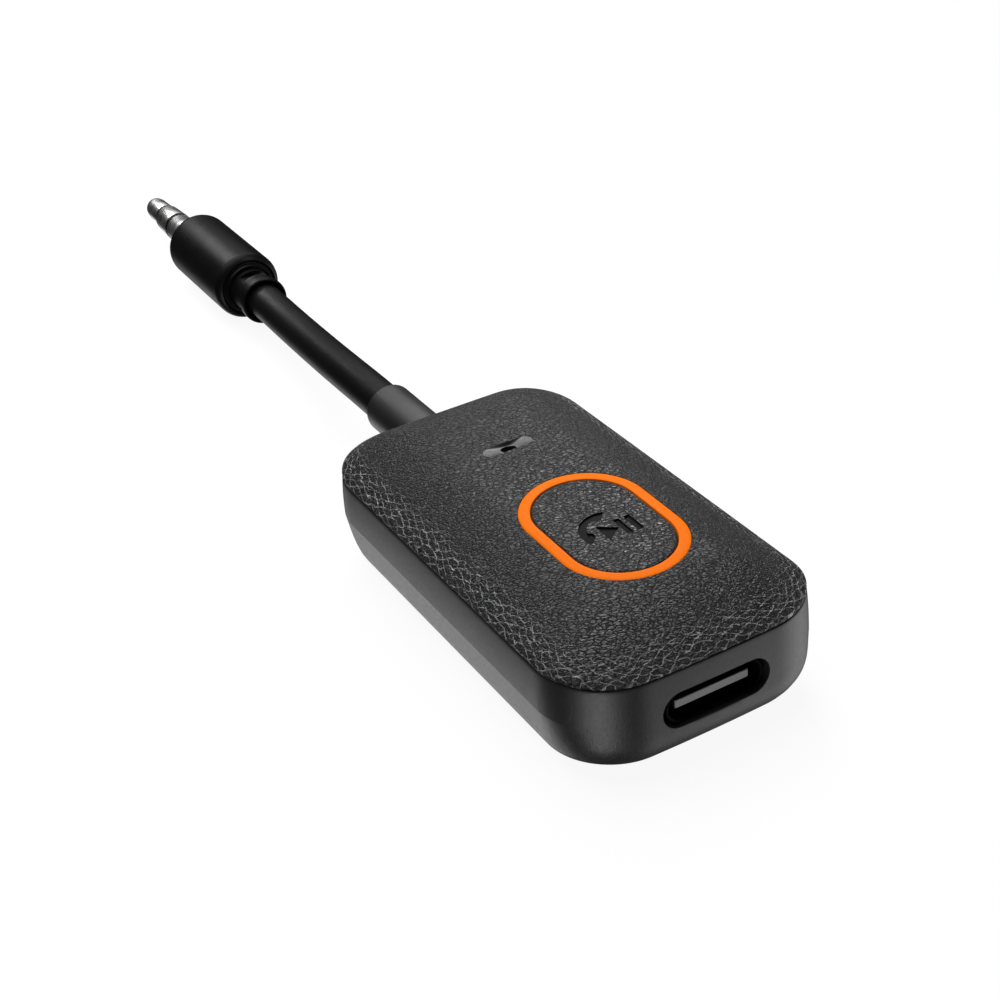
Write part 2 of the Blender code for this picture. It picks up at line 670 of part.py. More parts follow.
def make_usb_port():
    depth = SHELL_BACK_Y - SHELL_FRONT_Y
    outer = plate("usb_shell", stadium(SHELL_HALF_WIDTH, SHELL_HALF_HEIGHT), -depth / 2, depth / 2)
    lay_along_y(outer, SHELL_FRONT_Y, SHELL_BACK_Y, PORT_Z)
    mouth = stadium(SHELL_HALF_WIDTH - SHELL_SHEET, SHELL_HALF_HEIGHT - SHELL_SHEET)
    hollow = plate("shell_hollow", mouth, -depth, depth)
    lay_along_y(hollow, SHELL_FRONT_Y, SHELL_BACK_Y, PORT_Z)
    finish(cut(outer, hollow), PORT_STEEL)
    root_front_y = TONGUE_ROOT_BACK_Y - TONGUE_ROOT_LENGTH
    tongue_low = (-TONGUE_HALF_WIDTH, TONGUE_FRONT_Y, PORT_Z - TONGUE_HALF_HEIGHT)
    tongue_high = (TONGUE_HALF_WIDTH, root_front_y + OVERLAP, PORT_Z + TONGUE_HALF_HEIGHT)
    tongue = box("usb_tongue", tongue_low, tongue_high)
    seat = SHELL_SHEET + TOUCHING_GAP
    root_outline = stadium(SHELL_HALF_WIDTH - seat, SHELL_HALF_HEIGHT - seat)
    root = plate("tongue_root", root_outline, -TONGUE_ROOT_LENGTH / 2, TONGUE_ROOT_LENGTH / 2)
    lay_along_y(root, root_front_y, TONGUE_ROOT_BACK_Y, PORT_Z)
    return finish(join(tongue, root), PORT_MOULDING)


def make_battery():
    low = (-BATTERY_HALF_WIDTH, BATTERY_FRONT_Y, BATTERY_BOTTOM_Z)
    high = (BATTERY_HALF_WIDTH, BATTERY_BACK_Y, BATTERY_TOP_Z)
    finish(box("battery_cell", low, high, BATTERY_BEVEL), BATTERY_FOIL)
    pad_low = (-PAD_HALF_WIDTH, -PAD_HALF_LENGTH, FLOOR + TOUCHING_GAP)
    pad_high = (PAD_HALF_WIDTH, PAD_HALF_LENGTH, BATTERY_BOTTOM_Z - TOUCHING_GAP)
    finish(box("battery_pad", pad_low, pad_high), FOAM)
    board_low = (-BATTERY_BOARD_HALF_WIDTH, BATTERY_BOARD_Y, BATTERY_BOARD_LOW_Z)
    board_high = (BATTERY_BOARD_HALF_WIDTH, BATTERY_BOARD_Y + BATTERY_BOARD_SHEET, BATTERY_BOARD_HIGH_Z)
    finish(box("battery_board", board_low, board_high), BOARD)
    for name, x, material in (
        ("battery_lead_red", RED_LEAD_X, RED_WIRE),
        ("battery_lead_black", BLACK_LEAD_X, CABLE_JACKET),
    ):
        route = [(x, y, z) for y, z in LEAD_BENDS]
        wire(name, smooth_route(route, INNER_WIRE_SPAN_POINTS), LEAD_RADIUS, material)


def make_gland():
    """The gland, solid to its end, and the three wires that go on to the board from its nose."""
    profile = [(GLAND_END_Y, 0.0)]
    profile += fillet(GLAND_END_Y - GLAND_SHOULDER, GLAND_RADIUS - GLAND_SHOULDER, GLAND_SHOULDER, 90, 0)
    profile += [(GLAND_FLANGE_BACK_Y, GLAND_RADIUS), (GLAND_FLANGE_BACK_Y, GLAND_FLANGE_RADIUS)]
    profile += [(GLAND_FLANGE_FRONT_Y, GLAND_FLANGE_RADIUS)]
    profile += [(GLAND_NOSE_Y, GLAND_NOSE_RADIUS), (GLAND_NOSE_Y, 0.0)]
    finish(turned("cable_gland", profile, 0.0, CABLE_Z), BOOT_PLASTIC)
    for name, side, material in (
        ("wire_left", -1, WHITE_WIRE),
        ("wire_right", 1, RED_WIRE),
        ("wire_ground", 0, COPPER),
    ):
        x = side * SIGNAL_WIRE_X
        route = ((x * 0.7, 18.6, 5.7), (x * 0.8, 17.8, 5.7), (x, 16.8, 6.2), (x, 15.9, 6.8))
        wire(name, smooth_route(route, INNER_WIRE_SPAN_POINTS), SIGNAL_WIRE_RADIUS, material)


def make_cable():
    return wire("audio_cable", smooth_route(CABLE_ROUTE, CABLE_POINTS_PER_SPAN), CABLE_RADIUS, CABLE_JACKET)


def make_plug_collar():
    front = BOOT_REAR_Y - TOUCHING_GAP
    lip = COLLAR_Y + COLLAR_LIP
    profile = [(front, 0.0), (front, COLLAR_RADIUS)]
    profile += [(lip + 2 * COLLAR_EDGE, COLLAR_RADIUS), (lip, COLLAR_LIP_RADIUS)]
    profile += [(COLLAR_Y + COLLAR_EDGE, COLLAR_LIP_RADIUS)]
    profile += [(COLLAR_Y, COLLAR_LIP_RADIUS - COLLAR_EDGE), (COLLAR_Y, 0.0)]
    collar = turned("plug_collar", profile, PLUG_X, PLUG_Z)
    slot_low = (PLUG_X - COLLAR_SLOT_HALF_WIDTH, COLLAR_SLOT_REAR_Y, PLUG_Z + COLLAR_SLOT_BOTTOM)
    slot_high = (PLUG_X + COLLAR_SLOT_HALF_WIDTH, COLLAR_SLOT_FRONT_Y, PLUG_Z + COLLAR_SLOT_TOP)
    return finish(cut(collar, box("collar_slot", slot_low, slot_high)), BOOT_PLASTIC)


def make_plug_boot():
    socket_y = JACK_INNER_Y - TOUCHING_GAP
    step_y = BOOT_REAR_Y + BOOT_STEP
    profile = [(socket_y, 0.0), (socket_y, BOOT_BORE), (BOOT_FRONT_Y, BOOT_BORE)]
    profile += fillet(BOOT_FRONT_Y - BOOT_FRONT_ROUND, BOOT_RADIUS - BOOT_FRONT_ROUND, BOOT_FRONT_ROUND, 90, 0)
    rear_center = BOOT_REAR_Y + BOOT_REAR_ROUND, BOOT_RADIUS - BOOT_REAR_ROUND
    profile += fillet(*rear_center, BOOT_REAR_ROUND, 0, BOOT_REAR_TURN)
    profile += [(step_y, BOOT_STEP_RADIUS), (step_y, BOOT_SOCKET_RADIUS)]
    profile += [(BOOT_REAR_Y, BOOT_SOCKET_RADIUS), (BOOT_REAR_Y, 0.0)]
    return finish(turned("plug_boot", profile, PLUG_X, PLUG_Z), BOOT_PLASTIC)


def jack_piece(name, profile, material):
    """A piece of the plug's contact rod, its profile closed down to the axis at both ends."""
    closed = [(profile[0][0], 0.0), *profile, (profile[-1][0], 0.0)]
    return finish(turned(name, closed, PLUG_X, PLUG_Z), material)


def make_jack():
    """The three contacts of the plug and the two insulating rings between them."""
    rear_end = REAR_INSULATOR_Y + INSULATOR_WIDTH
    front_end = FRONT_INSULATOR_Y + INSULATOR_WIDTH
    sleeve = [(REAR_INSULATOR_Y - JACK_GAP, JACK_RADIUS), (JACK_INNER_Y, JACK_RADIUS)]
    jack_piece("jack_sleeve", sleeve, NICKEL)
    rear = [(rear_end, REAR_INSULATOR_RADIUS), (REAR_INSULATOR_Y, REAR_INSULATOR_RADIUS)]
    jack_piece("jack_insulator_rear", rear, BLACK_INSULATOR)
    ring = [(FRONT_INSULATOR_Y - JACK_GAP, JACK_RING_FRONT_RADIUS)]
    ring += [(rear_end + JACK_GAP, JACK_RING_REAR_RADIUS)]
    jack_piece("jack_ring", ring, NICKEL)
    front = [(front_end, FRONT_INSULATOR_RADIUS), (FRONT_INSULATOR_Y, FRONT_INSULATOR_REAR_RADIUS)]
    jack_piece("jack_insulator_front", front, BLACK_INSULATOR)
    nose = [(JACK_TIP_Y - back, radius) for back, radius in JACK_NOSE]
    jack_piece("jack_tip", [*nose, (front_end + JACK_GAP, JACK_TIP_RADIUS)], NICKEL)


def shade_round():
    for obj in PARTS.objects:
        if obj.type == "MESH":
            obj.data.shade_smooth()
            obj.data.set_sharp_from_angle(angle=math.radians(30))


make_lower_case()
make_top_cover()
make_leather()
make_ring()
make_button()
make_switch()
make_board()
make_board_components()
make_microphone_path()
make_usb_port()
make_battery()
make_gland()
make_cable()
make_plug_collar()
make_plug_boot()
make_jack()
shade_round()
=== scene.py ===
"""The looks of a Bluetooth audio receiver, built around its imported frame.

A leather-topped housing with a ringed call and play button, a USB-C port at the front, and a short cable
with a 3.5 mm plug at the back. Shapes, the camera and the wrinkles of the roll are in millimetres; the floor,
the lamps and the other textures are in metres.
"""

import math

import bmesh
import bpy
import numpy as np
from mathutils import Matrix, Vector


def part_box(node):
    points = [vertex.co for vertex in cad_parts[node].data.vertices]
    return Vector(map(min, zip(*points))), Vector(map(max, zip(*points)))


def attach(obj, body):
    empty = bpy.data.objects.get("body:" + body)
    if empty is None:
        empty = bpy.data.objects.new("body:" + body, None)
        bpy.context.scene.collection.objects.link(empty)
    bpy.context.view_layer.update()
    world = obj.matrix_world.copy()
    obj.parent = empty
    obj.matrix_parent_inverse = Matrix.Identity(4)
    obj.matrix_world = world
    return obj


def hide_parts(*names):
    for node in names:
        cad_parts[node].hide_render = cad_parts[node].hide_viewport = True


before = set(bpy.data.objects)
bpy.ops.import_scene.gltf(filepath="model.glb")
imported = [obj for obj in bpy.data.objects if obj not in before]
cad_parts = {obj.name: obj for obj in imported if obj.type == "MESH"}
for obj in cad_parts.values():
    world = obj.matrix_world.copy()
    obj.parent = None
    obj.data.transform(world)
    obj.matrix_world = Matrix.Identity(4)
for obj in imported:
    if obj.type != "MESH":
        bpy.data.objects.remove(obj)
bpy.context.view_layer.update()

MM = 0.001


def in_mm(corners):
    """A box's lowest and highest corner, from metres to millimetres."""
    return [np.array(corner) / MM for corner in corners]


# Housing, measured on the frame, in millimetres
CASE_HIGH = in_mm(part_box("lower_case"))[1]
LEATHER_HIGH = in_mm(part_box("leather_skin"))[1]
HALF_WIDTH = CASE_HIGH[0]
HALF_LENGTH = CASE_HIGH[1]
CORNER = 6.2
END_BOW = 0.4
RIM_Z = CASE_HIGH[2]
TOP_Z = LEATHER_HIGH[2]

# Padded leather top, and the way its creases run
CREASE_HEADING = -0.48
EDGE_Z = RIM_Z + 0.23
EDGE_INSET = 0.24
CROWN = 0.65
DOME_REACH = 6.49
DOME_POWER = 1.28
LEATHER = 0.75

# Case section: a facet under a crease on the long sides, a plain round foot at the ends
CREASE_Z = 5.46
FACET_END_Z = 2.4
FACET_END_INSET = 0.6
SIDE_FOOT_INSET = 3.6
END_FOOT_INSET = 3.92
END_FOOT_Z = 4.05
BAND_LEAN = 0.22
BAND_POWER = 2.3
CORNER_KEEP = 0.55
CASE_WALL = 1.3
CASE_FLOOR_Z = 1.2

# Button and ring
RING_LOW, RING_HIGH = in_mm(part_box("accent_ring"))
BUTTON_LOW, BUTTON_HIGH = in_mm(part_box("button_leather"))
BUTTON_Y = (RING_LOW[1] + RING_HIGH[1]) / 2
RING_HALF_WIDTH = RING_HIGH[0]
RING_HALF_LENGTH = (RING_HIGH[1] - RING_LOW[1]) / 2
RING_BAND = 1.0
BUTTON_HALF_WIDTH = BUTTON_HIGH[0]
BUTTON_HALF_LENGTH = (BUTTON_HIGH[1] - BUTTON_LOW[1]) / 2

# Microphone insert
INSERT_LOW, INSERT_HIGH = in_mm(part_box("mic_insert"))
MIC_Y = (INSERT_LOW[1] + INSERT_HIGH[1]) / 2
INSERT_HALF_LENGTH = INSERT_HIGH[0]
INSERT_HALF_WIDTH = (INSERT_HIGH[1] - INSERT_LOW[1]) / 2

# USB-C port
SHELL_LOW, SHELL_HIGH = in_mm(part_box("usb_shell"))
TONGUE_LOW, TONGUE_HIGH = in_mm(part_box("usb_tongue"))
PORT_Z = (SHELL_LOW[2] + SHELL_HIGH[2]) / 2
PORT_HALF_WIDTH = 4.86
PORT_HALF_HEIGHT = 1.6
PORT_LIP = 0.14
TONGUE_HALF_WIDTH = 3.345
TONGUE_HALF_HEIGHT = 0.37
CONTACTS_PER_SIDE = 12
CONTACT_PITCH = 0.5

# Cable and plug
GLAND_LOW, GLAND_HIGH = in_mm(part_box("cable_gland"))
COLLAR_LOW, COLLAR_HIGH = in_mm(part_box("plug_collar"))
BOOT_LOW, BOOT_HIGH = in_mm(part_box("plug_boot"))
CABLE_Z = (GLAND_LOW[2] + GLAND_HIGH[2]) / 2
CABLE_RADIUS = 1.95
GLAND_HOLE_RADIUS = 2.52
GLAND_RADIUS = 2.45
COLLAR_RADIUS = 2.4
COLLAR_FLANGE_RADIUS = 2.65
CABLE_BORE_RADIUS = 1.97
SLEEVE_RADIUS = 1.75
PLUG_X = (BOOT_LOW[0] + BOOT_HIGH[0]) / 2
PLUG_Z = (BOOT_LOW[2] + BOOT_HIGH[2]) / 2
JACK_NODES = ("jack_sleeve", "jack_insulator_rear", "jack_ring", "jack_insulator_front", "jack_tip")
CABLE_ROUTE = (
    (0.0, 32.05, 5.9),
    (0.0, 36.0, 5.88),
    (0.1, 41.0, 5.64),
    (0.42, 46.5, 5.13),
    (0.84, 52.0, 4.55),
    (1.2, 58.0, 4.1),
    (1.38, 61.9, 3.93),
    (1.42, 65.05, 3.9),
)

# Camera, solved from the photograph together with the body
CAMERA_AZIMUTH, CAMERA_ELEVATION, CAMERA_ROLL = -27.32, 32.24, -5.32
CAMERA_TARGET = (0.87, 11.84, 5.0)
CAMERA_DISTANCE = 159.7
CAMERA_LENS = 64.67
SENSOR_WIDTH = 36.0

# Surroundings: brightness of the world by height of the direction, from straight down to straight up
WORLD_STOPS = (
    (-1.0, 0.03),
    (-0.8, 0.03),
    (-0.6, 0.06),
    (-0.3, 0.03),
    (-0.1, 0.015),
    (0.1, 0.015),
    (0.4, 0.05),
    (1.0, 0.2),
)

# Glows in the world: direction, the cosine at which each starts, and its strength at the middle
GLOWS = (
    ((-0.6, -0.57, -0.56), 0.945, 6.6),
    ((0.8, -0.35, -0.45), 0.68, 1.8),
    ((-0.2, 0.68, -0.7), 0.915, 1.6),
    ((0.388, 0.62, 0.66), 0.9, 1.2),
)


# ---------------------------------------------------------------- camera


def make_camera():
    azimuth, elevation, roll = (math.radians(a) for a in (CAMERA_AZIMUTH, CAMERA_ELEVATION, CAMERA_ROLL))
    target = Vector(CAMERA_TARGET) * MM
    distance = CAMERA_DISTANCE * MM
    level = math.cos(elevation)
    back = Vector((math.sin(azimuth) * level, -math.cos(azimuth) * level, math.sin(elevation)))
    right = Vector((math.cos(azimuth), math.sin(azimuth), 0.0))
    up = back.cross(right)
    rolled_right = right * math.cos(roll) + up * math.sin(roll)
    rolled_up = back.cross(rolled_right)
    camera = bpy.data.cameras.new("camera")
    camera.lens = CAMERA_LENS
    camera.sensor_width = SENSOR_WIDTH
    camera.clip_start = 0.005
    holder = bpy.data.objects.new("camera", camera)
    bpy.context.scene.collection.objects.link(holder)
    holder.matrix_world = Matrix.Translation(target + back * distance) @ Matrix(
        (rolled_right, rolled_up, back)
    ).transposed().to_4x4()
    bpy.context.scene.camera = holder


# ---------------------------------------------------------------- node helpers


class Nodes:
    """A short way to write a material's node tree."""

    def __init__(self, name):
        self.material = bpy.data.materials.new(name)
        self.material.use_nodes = True
        self.tree = self.material.node_tree
        self.shader = self.tree.nodes["Principled BSDF"]

    def add(self, kind, inputs=None, **settings):
        node = self.tree.nodes.new(kind)
        for key, value in settings.items():
            setattr(node, key, value)
        for key, value in (inputs or {}).items():
            self.feed(node, key, value)
        return node

    def feed(self, node, key, value):
        socket = node.inputs[key]
        if isinstance(value, bpy.types.Node):
            value = value.outputs[0]
        if isinstance(value, bpy.types.NodeSocket):
            self.tree.links.new(value, socket)
        else:
            socket.default_value = value

    def object_place(self, scale=(1.0, 1.0, 1.0)):
        place = self.add("ShaderNodeTexCoord").outputs["Object"]
        if scale == (1.0, 1.0, 1.0):
            return place
        return self.add("ShaderNodeMapping", {"Vector": place, "Scale": scale}).outputs[0]

    def noise(self, place, scale, detail=2.0, roughness=0.5):
        inputs = {"Vector": place, "Scale": scale, "Detail": detail, "Roughness": roughness}
        return self.add("ShaderNodeTexNoise", inputs).outputs["Fac"]

    def voronoi(self, place, scale, feature, randomness=1.0):
        inputs = {"Vector": place, "Scale": scale, "Randomness": randomness}
        return self.add("ShaderNodeTexVoronoi", inputs, feature=feature).outputs["Distance"]

    def math(self, operation, a, b):
        return self.add("ShaderNodeMath", {0: a, 1: b}, operation=operation).outputs[0]

    def span(self, value, from_low, from_high, to_low, to_high):
        inputs = {0: value, 1: from_low, 2: from_high, 3: to_low, 4: to_high}
        return self.add("ShaderNodeMapRange", inputs, clamp=True).outputs[0]

    def blend(self, factor, a, b):
        node = self.add("ShaderNodeMix", data_type="RGBA")
        self.feed(node, 0, factor)
        self.feed(node, 6, a)
        self.feed(node, 7, b)
        return node.outputs[2]

    def shift(self, place, amount, vector):
        """Moves a texture place by a vector of noise around zero."""
        middle = (0.5, 0.5, 0.5)
        centred = self.add("ShaderNodeVectorMath", {0: vector, 1: middle}, operation="SUBTRACT")
        scaled = self.add("ShaderNodeVectorMath", {0: centred, "Scale": amount}, operation="SCALE")
        return self.add("ShaderNodeVectorMath", {0: place, 1: scaled}, operation="ADD").outputs[0]

    def bump(self, height, distance, strength):
        inputs = {"Height": height, "Distance": distance, "Strength": strength}
        return self.add("ShaderNodeBump", inputs).outputs[0]

    def set(self, **values):
        for key, value in values.items():
            self.feed(self.shader, key.replace("_", " "), value)
        return self.material


def gray(value):
    return (value, value, value, 1.0)


# ---------------------------------------------------------------- materials


def crackle_family(n, place, lean, spacing, width, drift):
    """Fine lines that run nearly along the edge, all leaning one way, and wander with the drift. The leather
    raises them, and also colours them light grey as a painted highlight.
    """
    split = n.add("ShaderNodeSeparateXYZ", {"Vector": place})
    leaning = n.math("MULTIPLY", split.outputs["X"], lean)
    level = n.math("ADD", n.math("ADD", split.outputs["Y"], leaning), drift)
    tooth = n.math("PINGPONG", n.math("DIVIDE", level, spacing), 0.5)
    return n.span(tooth, width * 0.3, width, 1.0, 0.0)


def leather_material():
    n = Nodes("grained_leather")
    place = n.object_place()
    wander = n.add("ShaderNodeTexNoise", {"Vector": place, "Scale": 1300.0, "Detail": 3.0}).outputs["Color"]
    bent = n.shift(place, 0.0006, wander)
    grain_inputs = {"Vector": bent, "Rotation": (0.0, 0.0, CREASE_HEADING), "Scale": (2.1, 1.0, 1.0)}
    grain = n.add("ShaderNodeMapping", grain_inputs, vector_type="TEXTURE").outputs[0]
    gaps = n.span(n.voronoi(grain, 3800.0, "DISTANCE_TO_EDGE"), 0.0, 0.21, 0.0, 1.0)
    small_gaps = n.span(n.voronoi(grain, 7000.0, "DISTANCE_TO_EDGE"), 0.0, 0.2, 0.0, 1.0)
    fine = n.noise(place, 14000.0, 3.0, 0.6)
    height = n.math("ADD", n.math("MULTIPLY", gaps, 0.75), n.math("MULTIPLY", small_gaps, 0.25))

    roll_place = n.add("ShaderNodeAttribute", attribute_name="roll_place").outputs["Vector"]
    roll = n.add("ShaderNodeAttribute", attribute_name="roll").outputs["Fac"]
    elsewhere = n.add("ShaderNodeMapping", {"Vector": roll_place, "Location": (7.0, 3.0, 2.0)}).outputs[0]
    jag = n.span(n.noise(roll_place, 4.0, 2.0), 0.2, 0.8, -0.09, 0.09)
    slow = n.math("ADD", n.span(n.noise(roll_place, 0.6, 2.0), 0.2, 0.8, 0.0, 0.8), jag)
    other = n.math("SUBTRACT", n.span(n.noise(elsewhere, 0.7, 2.0), 0.2, 0.8, 0.0, 0.8), jag)
    first = crackle_family(n, roll_place, 0.36, 0.62, 0.075, slow)
    second = crackle_family(n, roll_place, -0.4, 0.74, 0.07, other)
    lines = n.math("MAXIMUM", first, second)
    broken = n.span(n.noise(roll_place, 1.6, 2.0), 0.36, 0.62, 0.12, 1.0)
    lines = n.math("MULTIPLY", n.math("MULTIPLY", lines, n.math("POWER", roll, 1.5)), broken)

    grained = n.math("ADD", height, n.math("MULTIPLY", fine, 0.08))
    tall = n.math("ADD", grained, n.math("MULTIPLY", lines, 0.3))
    normal = n.bump(tall, 0.0001, 1.0)
    # The gaps between the grain's cells are coloured near black: painted shade in the grain's creases.
    shade = n.span(height, 0.2, 0.9, 0.0, 1.0)
    patch = n.span(n.noise(place, 1100.0, 2.0), 0.3, 0.7, 0.017, 0.033)
    # Over the rolled edge the leather turns near black: painted shade where it turns away from the light.
    top = n.blend(roll, patch, gray(0.002))
    color = n.blend(shade, gray(0.001), top)
    # The crackle lines are raised and also coloured light grey: a painted highlight on ridges that catch the
    # light.
    color = n.blend(lines, color, gray(0.5))
    rough = n.span(shade, 0.0, 0.8, 0.95, 0.34)
    return n.set(Base_Color=color, Roughness=rough, Normal=normal, Specular_IOR_Level=0.65)


def case_material():
    n = Nodes("textured_case_plastic")
    place = n.object_place()
    spark = n.noise(place, 11000.0, 3.0, 0.65)
    soft = n.noise(place, 3200.0, 2.0, 0.5)
    height = n.math("ADD", n.math("MULTIPLY", spark, 0.7), n.math("MULTIPLY", soft, 0.3))
    color = n.blend(n.span(spark, 0.3, 0.7, 0.0, 1.0), gray(0.013), gray(0.022))
    rough = n.span(soft, 0.3, 0.7, 0.43, 0.36)
    normal = n.bump(height, 0.000035, 0.8)
    return n.set(Base_Color=color, Roughness=rough, Normal=normal, Specular_IOR_Level=0.5)


def satin_black(name, base, roughness, grain=0.00001, gloss=0.5):
    n = Nodes(name)
    place = n.object_place()
    fine = n.noise(place, 7000.0, 3.0, 0.6)
    wear = n.noise(place, 400.0, 4.0, 0.6)
    color = n.blend(n.span(fine, 0.3, 0.7, 0.0, 1.0), gray(base * 0.8), gray(base * 1.3))
    rough = n.span(wear, 0.3, 0.7, roughness - 0.04, roughness + 0.05)
    return n.set(Base_Color=color, Roughness=rough, Normal=n.bump(fine, grain, 0.6), Specular_IOR_Level=gloss)


def orange_material():
    n = Nodes("orange_ring_plastic")
    place = n.object_place()
    fine = n.noise(place, 6000.0, 3.0, 0.6)
    color = n.blend(n.span(fine, 0.3, 0.7, 0.0, 1.0), (0.9, 0.165, 0.001, 1.0), (1.0, 0.2, 0.002, 1.0))
    rough = n.span(n.noise(place, 900.0, 2.0), 0.3, 0.7, 0.5, 0.42)
    normal = n.bump(fine, 0.000008, 0.5)
    return n.set(Base_Color=color, Roughness=rough, Normal=normal, Specular_IOR_Level=0.02)


def metal_material(name, color, roughness, scratch=0.000004, stretch=(1.0, 0.04, 1.0)):
    n = Nodes(name)
    lines = n.noise(n.object_place(stretch), 9000.0, 3.0, 0.6)
    patch = n.noise(n.object_place(), 500.0, 3.0, 0.6)
    rough = n.span(patch, 0.3, 0.7, roughness * 0.8, roughness * 1.25)
    tint = n.blend(n.span(lines, 0.3, 0.7, 0.0, 1.0), tuple(0.9 * c for c in color[:3]) + (1.0,), color)
    return n.set(Base_Color=tint, Metallic=1.0, Roughness=rough, Normal=n.bump(lines, scratch, 0.5))


def board_material():
    n = Nodes("solder_mask")
    place = n.object_place()
    tracks = n.span(n.voronoi(place, 900.0, "F1", randomness=0.3), 0.42, 0.5, 0.0, 1.0)
    color = n.blend(tracks, (0.006, 0.05, 0.02, 1.0), (0.012, 0.085, 0.035, 1.0))
    rough = n.span(tracks, 0, 1, 0.35, 0.45)
    return n.set(Base_Color=color, Roughness=rough, Normal=n.bump(tracks, 0.00002, 0.4))


def speckled(name, low, high, roughness, scale=5000.0, depth=0.00001):
    n = Nodes(name)
    fine = n.noise(n.object_place(), scale, 3.0, 0.6)
    color = n.blend(n.span(fine, 0.3, 0.7, 0.0, 1.0), (*low, 1.0), (*high, 1.0))
    rough = n.span(fine, 0.3, 0.7, roughness - 0.05, roughness + 0.05)
    return n.set(Base_Color=color, Roughness=rough, Normal=n.bump(fine, depth, 0.5))


# ---------------------------------------------------------------- geometry helpers


def rounded_outline(half_width, half_length, corner, bow=0.0, corner_steps=20, side_steps=60, end_steps=26):
    """Points round a rectangle with round corners, anticlockwise from the +X side.

    Their number is the same for every size. With bow, both ends curve in towards the corners.
    """
    corner = min(corner, half_width, half_length)
    flat_x = half_width - corner
    flat_y = half_length - corner
    quarter = np.linspace(0.0, math.pi / 2, corner_steps + 1)
    side = np.linspace(-flat_y, flat_y, side_steps + 1)[:-1]
    end = np.linspace(flat_x, -flat_x, end_steps + 1)[:-1]
    parts = [
        np.c_[np.full(side_steps, half_width), side],
        np.c_[flat_x + corner * np.cos(quarter[:-1]), flat_y + corner * np.sin(quarter[:-1])],
        np.c_[end, np.full(end_steps, half_length)],
        np.c_[-flat_x - corner * np.sin(quarter[:-1]), flat_y + corner * np.cos(quarter[:-1])],
        np.c_[np.full(side_steps, -half_width), -side],
        np.c_[-flat_x - corner * np.cos(quarter[:-1]), -flat_y - corner * np.sin(quarter[:-1])],
        np.c_[-end, np.full(end_steps, -half_length)],
        np.c_[flat_x + corner * np.sin(quarter[:-1]), -flat_y - corner * np.cos(quarter[:-1])],
    ]
    points = np.concatenate(parts)
    if bow:
        points[:, 1] *= 1.0 - bow / HALF_LENGTH * (points[:, 0] / HALF_WIDTH) ** 2
    return points


def share_smoothly(value):
    value = np.clip(value, 0.0, 1.0)
    return value * value * (3.0 - 2.0 * value)


def housing_outline(inset, corner_keep=0.0):
    """The housing's outline, drawn in. With corner_keep its corners stay rounder than a parallel line's."""
    corner = max(CORNER - inset * (1.0 - corner_keep), 0.6)
    return rounded_outline(HALF_WIDTH - inset, HALF_LENGTH - inset, corner, END_BOW)


def distance_inside(x, y, half_width, half_length, corner):
    """How far a place lies inside a rectangle with round corners."""
    out_x = np.abs(x) - (half_width - corner)
    out_y = np.abs(y) - (half_length - corner)
    outside = np.hypot(np.maximum(out_x, 0.0), np.maximum(out_y, 0.0))
    return corner - outside - np.minimum(np.maximum(out_x, out_y), 0.0)


def top_height(x, y):
    """Height of the leather's upper face."""
    reach = distance_inside(x, y, HALF_WIDTH - EDGE_INSET, HALF_LENGTH - EDGE_INSET, CORNER - EDGE_INSET)
    share = np.clip(reach / DOME_REACH, 0.0, 1.0)
    dome = (1.0 - (1.0 - share) ** DOME_POWER) ** (1.0 / DOME_POWER)
    crown = (1.0 - (x / HALF_WIDTH) ** 2) * (1.0 - (y / HALF_LENGTH) ** 2)
    return EDGE_Z + (TOP_Z - EDGE_Z - CROWN) * dome + CROWN * crown


def smooth_below(mesh, degrees):
    """Shades the mesh smooth, with sharp edges where its faces meet at more than this angle."""
    mesh.shade_smooth()
    mesh.set_sharp_from_angle(angle=math.radians(degrees))


def new_object(name, mesh, material, smooth_angle=32.0):
    mesh.materials.clear()
    mesh.materials.append(material)
    obj = bpy.data.objects.new(name, mesh)
    bpy.context.scene.collection.objects.link(obj)
    smooth_below(mesh, smooth_angle)
    return obj


def ring_mesh(name, levels, closed=False):
    """A solid through rings of equally many (x, y, z) points: capped at both ends, or closed on itself."""
    count = len(levels[0])
    points = np.concatenate(levels) * MM
    faces = []
    spans = list(zip(range(len(levels)), range(1, len(levels))))
    if closed:
        spans.append((len(levels) - 1, 0))
    for low, high in spans:
        for i in range(count):
            j = (i + 1) % count
            faces.append((low * count + i, low * count + j, high * count + j, high * count + i))
    if not closed:
        faces.append(tuple(reversed(range(count))))
        last = (len(levels) - 1) * count
        faces.append(tuple(last + i for i in range(count)))
    mesh = bpy.data.meshes.new(name)
    mesh.from_pydata(points.tolist(), [], faces)
    mesh.update()
    shape = bmesh.new()
    shape.from_mesh(mesh)
    bmesh.ops.remove_doubles(shape, verts=shape.verts, dist=1e-7)
    bmesh.ops.dissolve_degenerate(shape, edges=shape.edges, dist=1e-7)
    bmesh.ops.recalc_face_normals(shape, faces=shape.faces)
    shape.to_mesh(mesh)
    shape.free()
    return mesh


def at_height(outline, z):
    return np.c_[outline, np.full(len(outline), z) if np.isscalar(z) else z]


def along_y(outline, y, z):
    """An outline stood upright across the Y axis, at a place along it and a height."""
    return np.c_[outline[:, 0], np.full(len(outline), y), outline[:, 1] + z]


def lathe_mesh(name, profile, center_x, center_z, steps=96):
    """A profile of (y, radius) points turned about an axis along Y.

    It is capped at both ends if it starts on the axis, or else closed on itself, as a tube.
    """
    turn = np.linspace(0.0, 2 * math.pi, steps, endpoint=False)
    levels = []
    for y, radius in profile:
        reach = max(radius, 1e-5)
        ring = np.c_[center_x + reach * np.cos(turn), np.full(steps, y), center_z + reach * np.sin(turn)]
        levels.append(ring)
    return ring_mesh(name, levels, closed=profile[0][1] > 0)


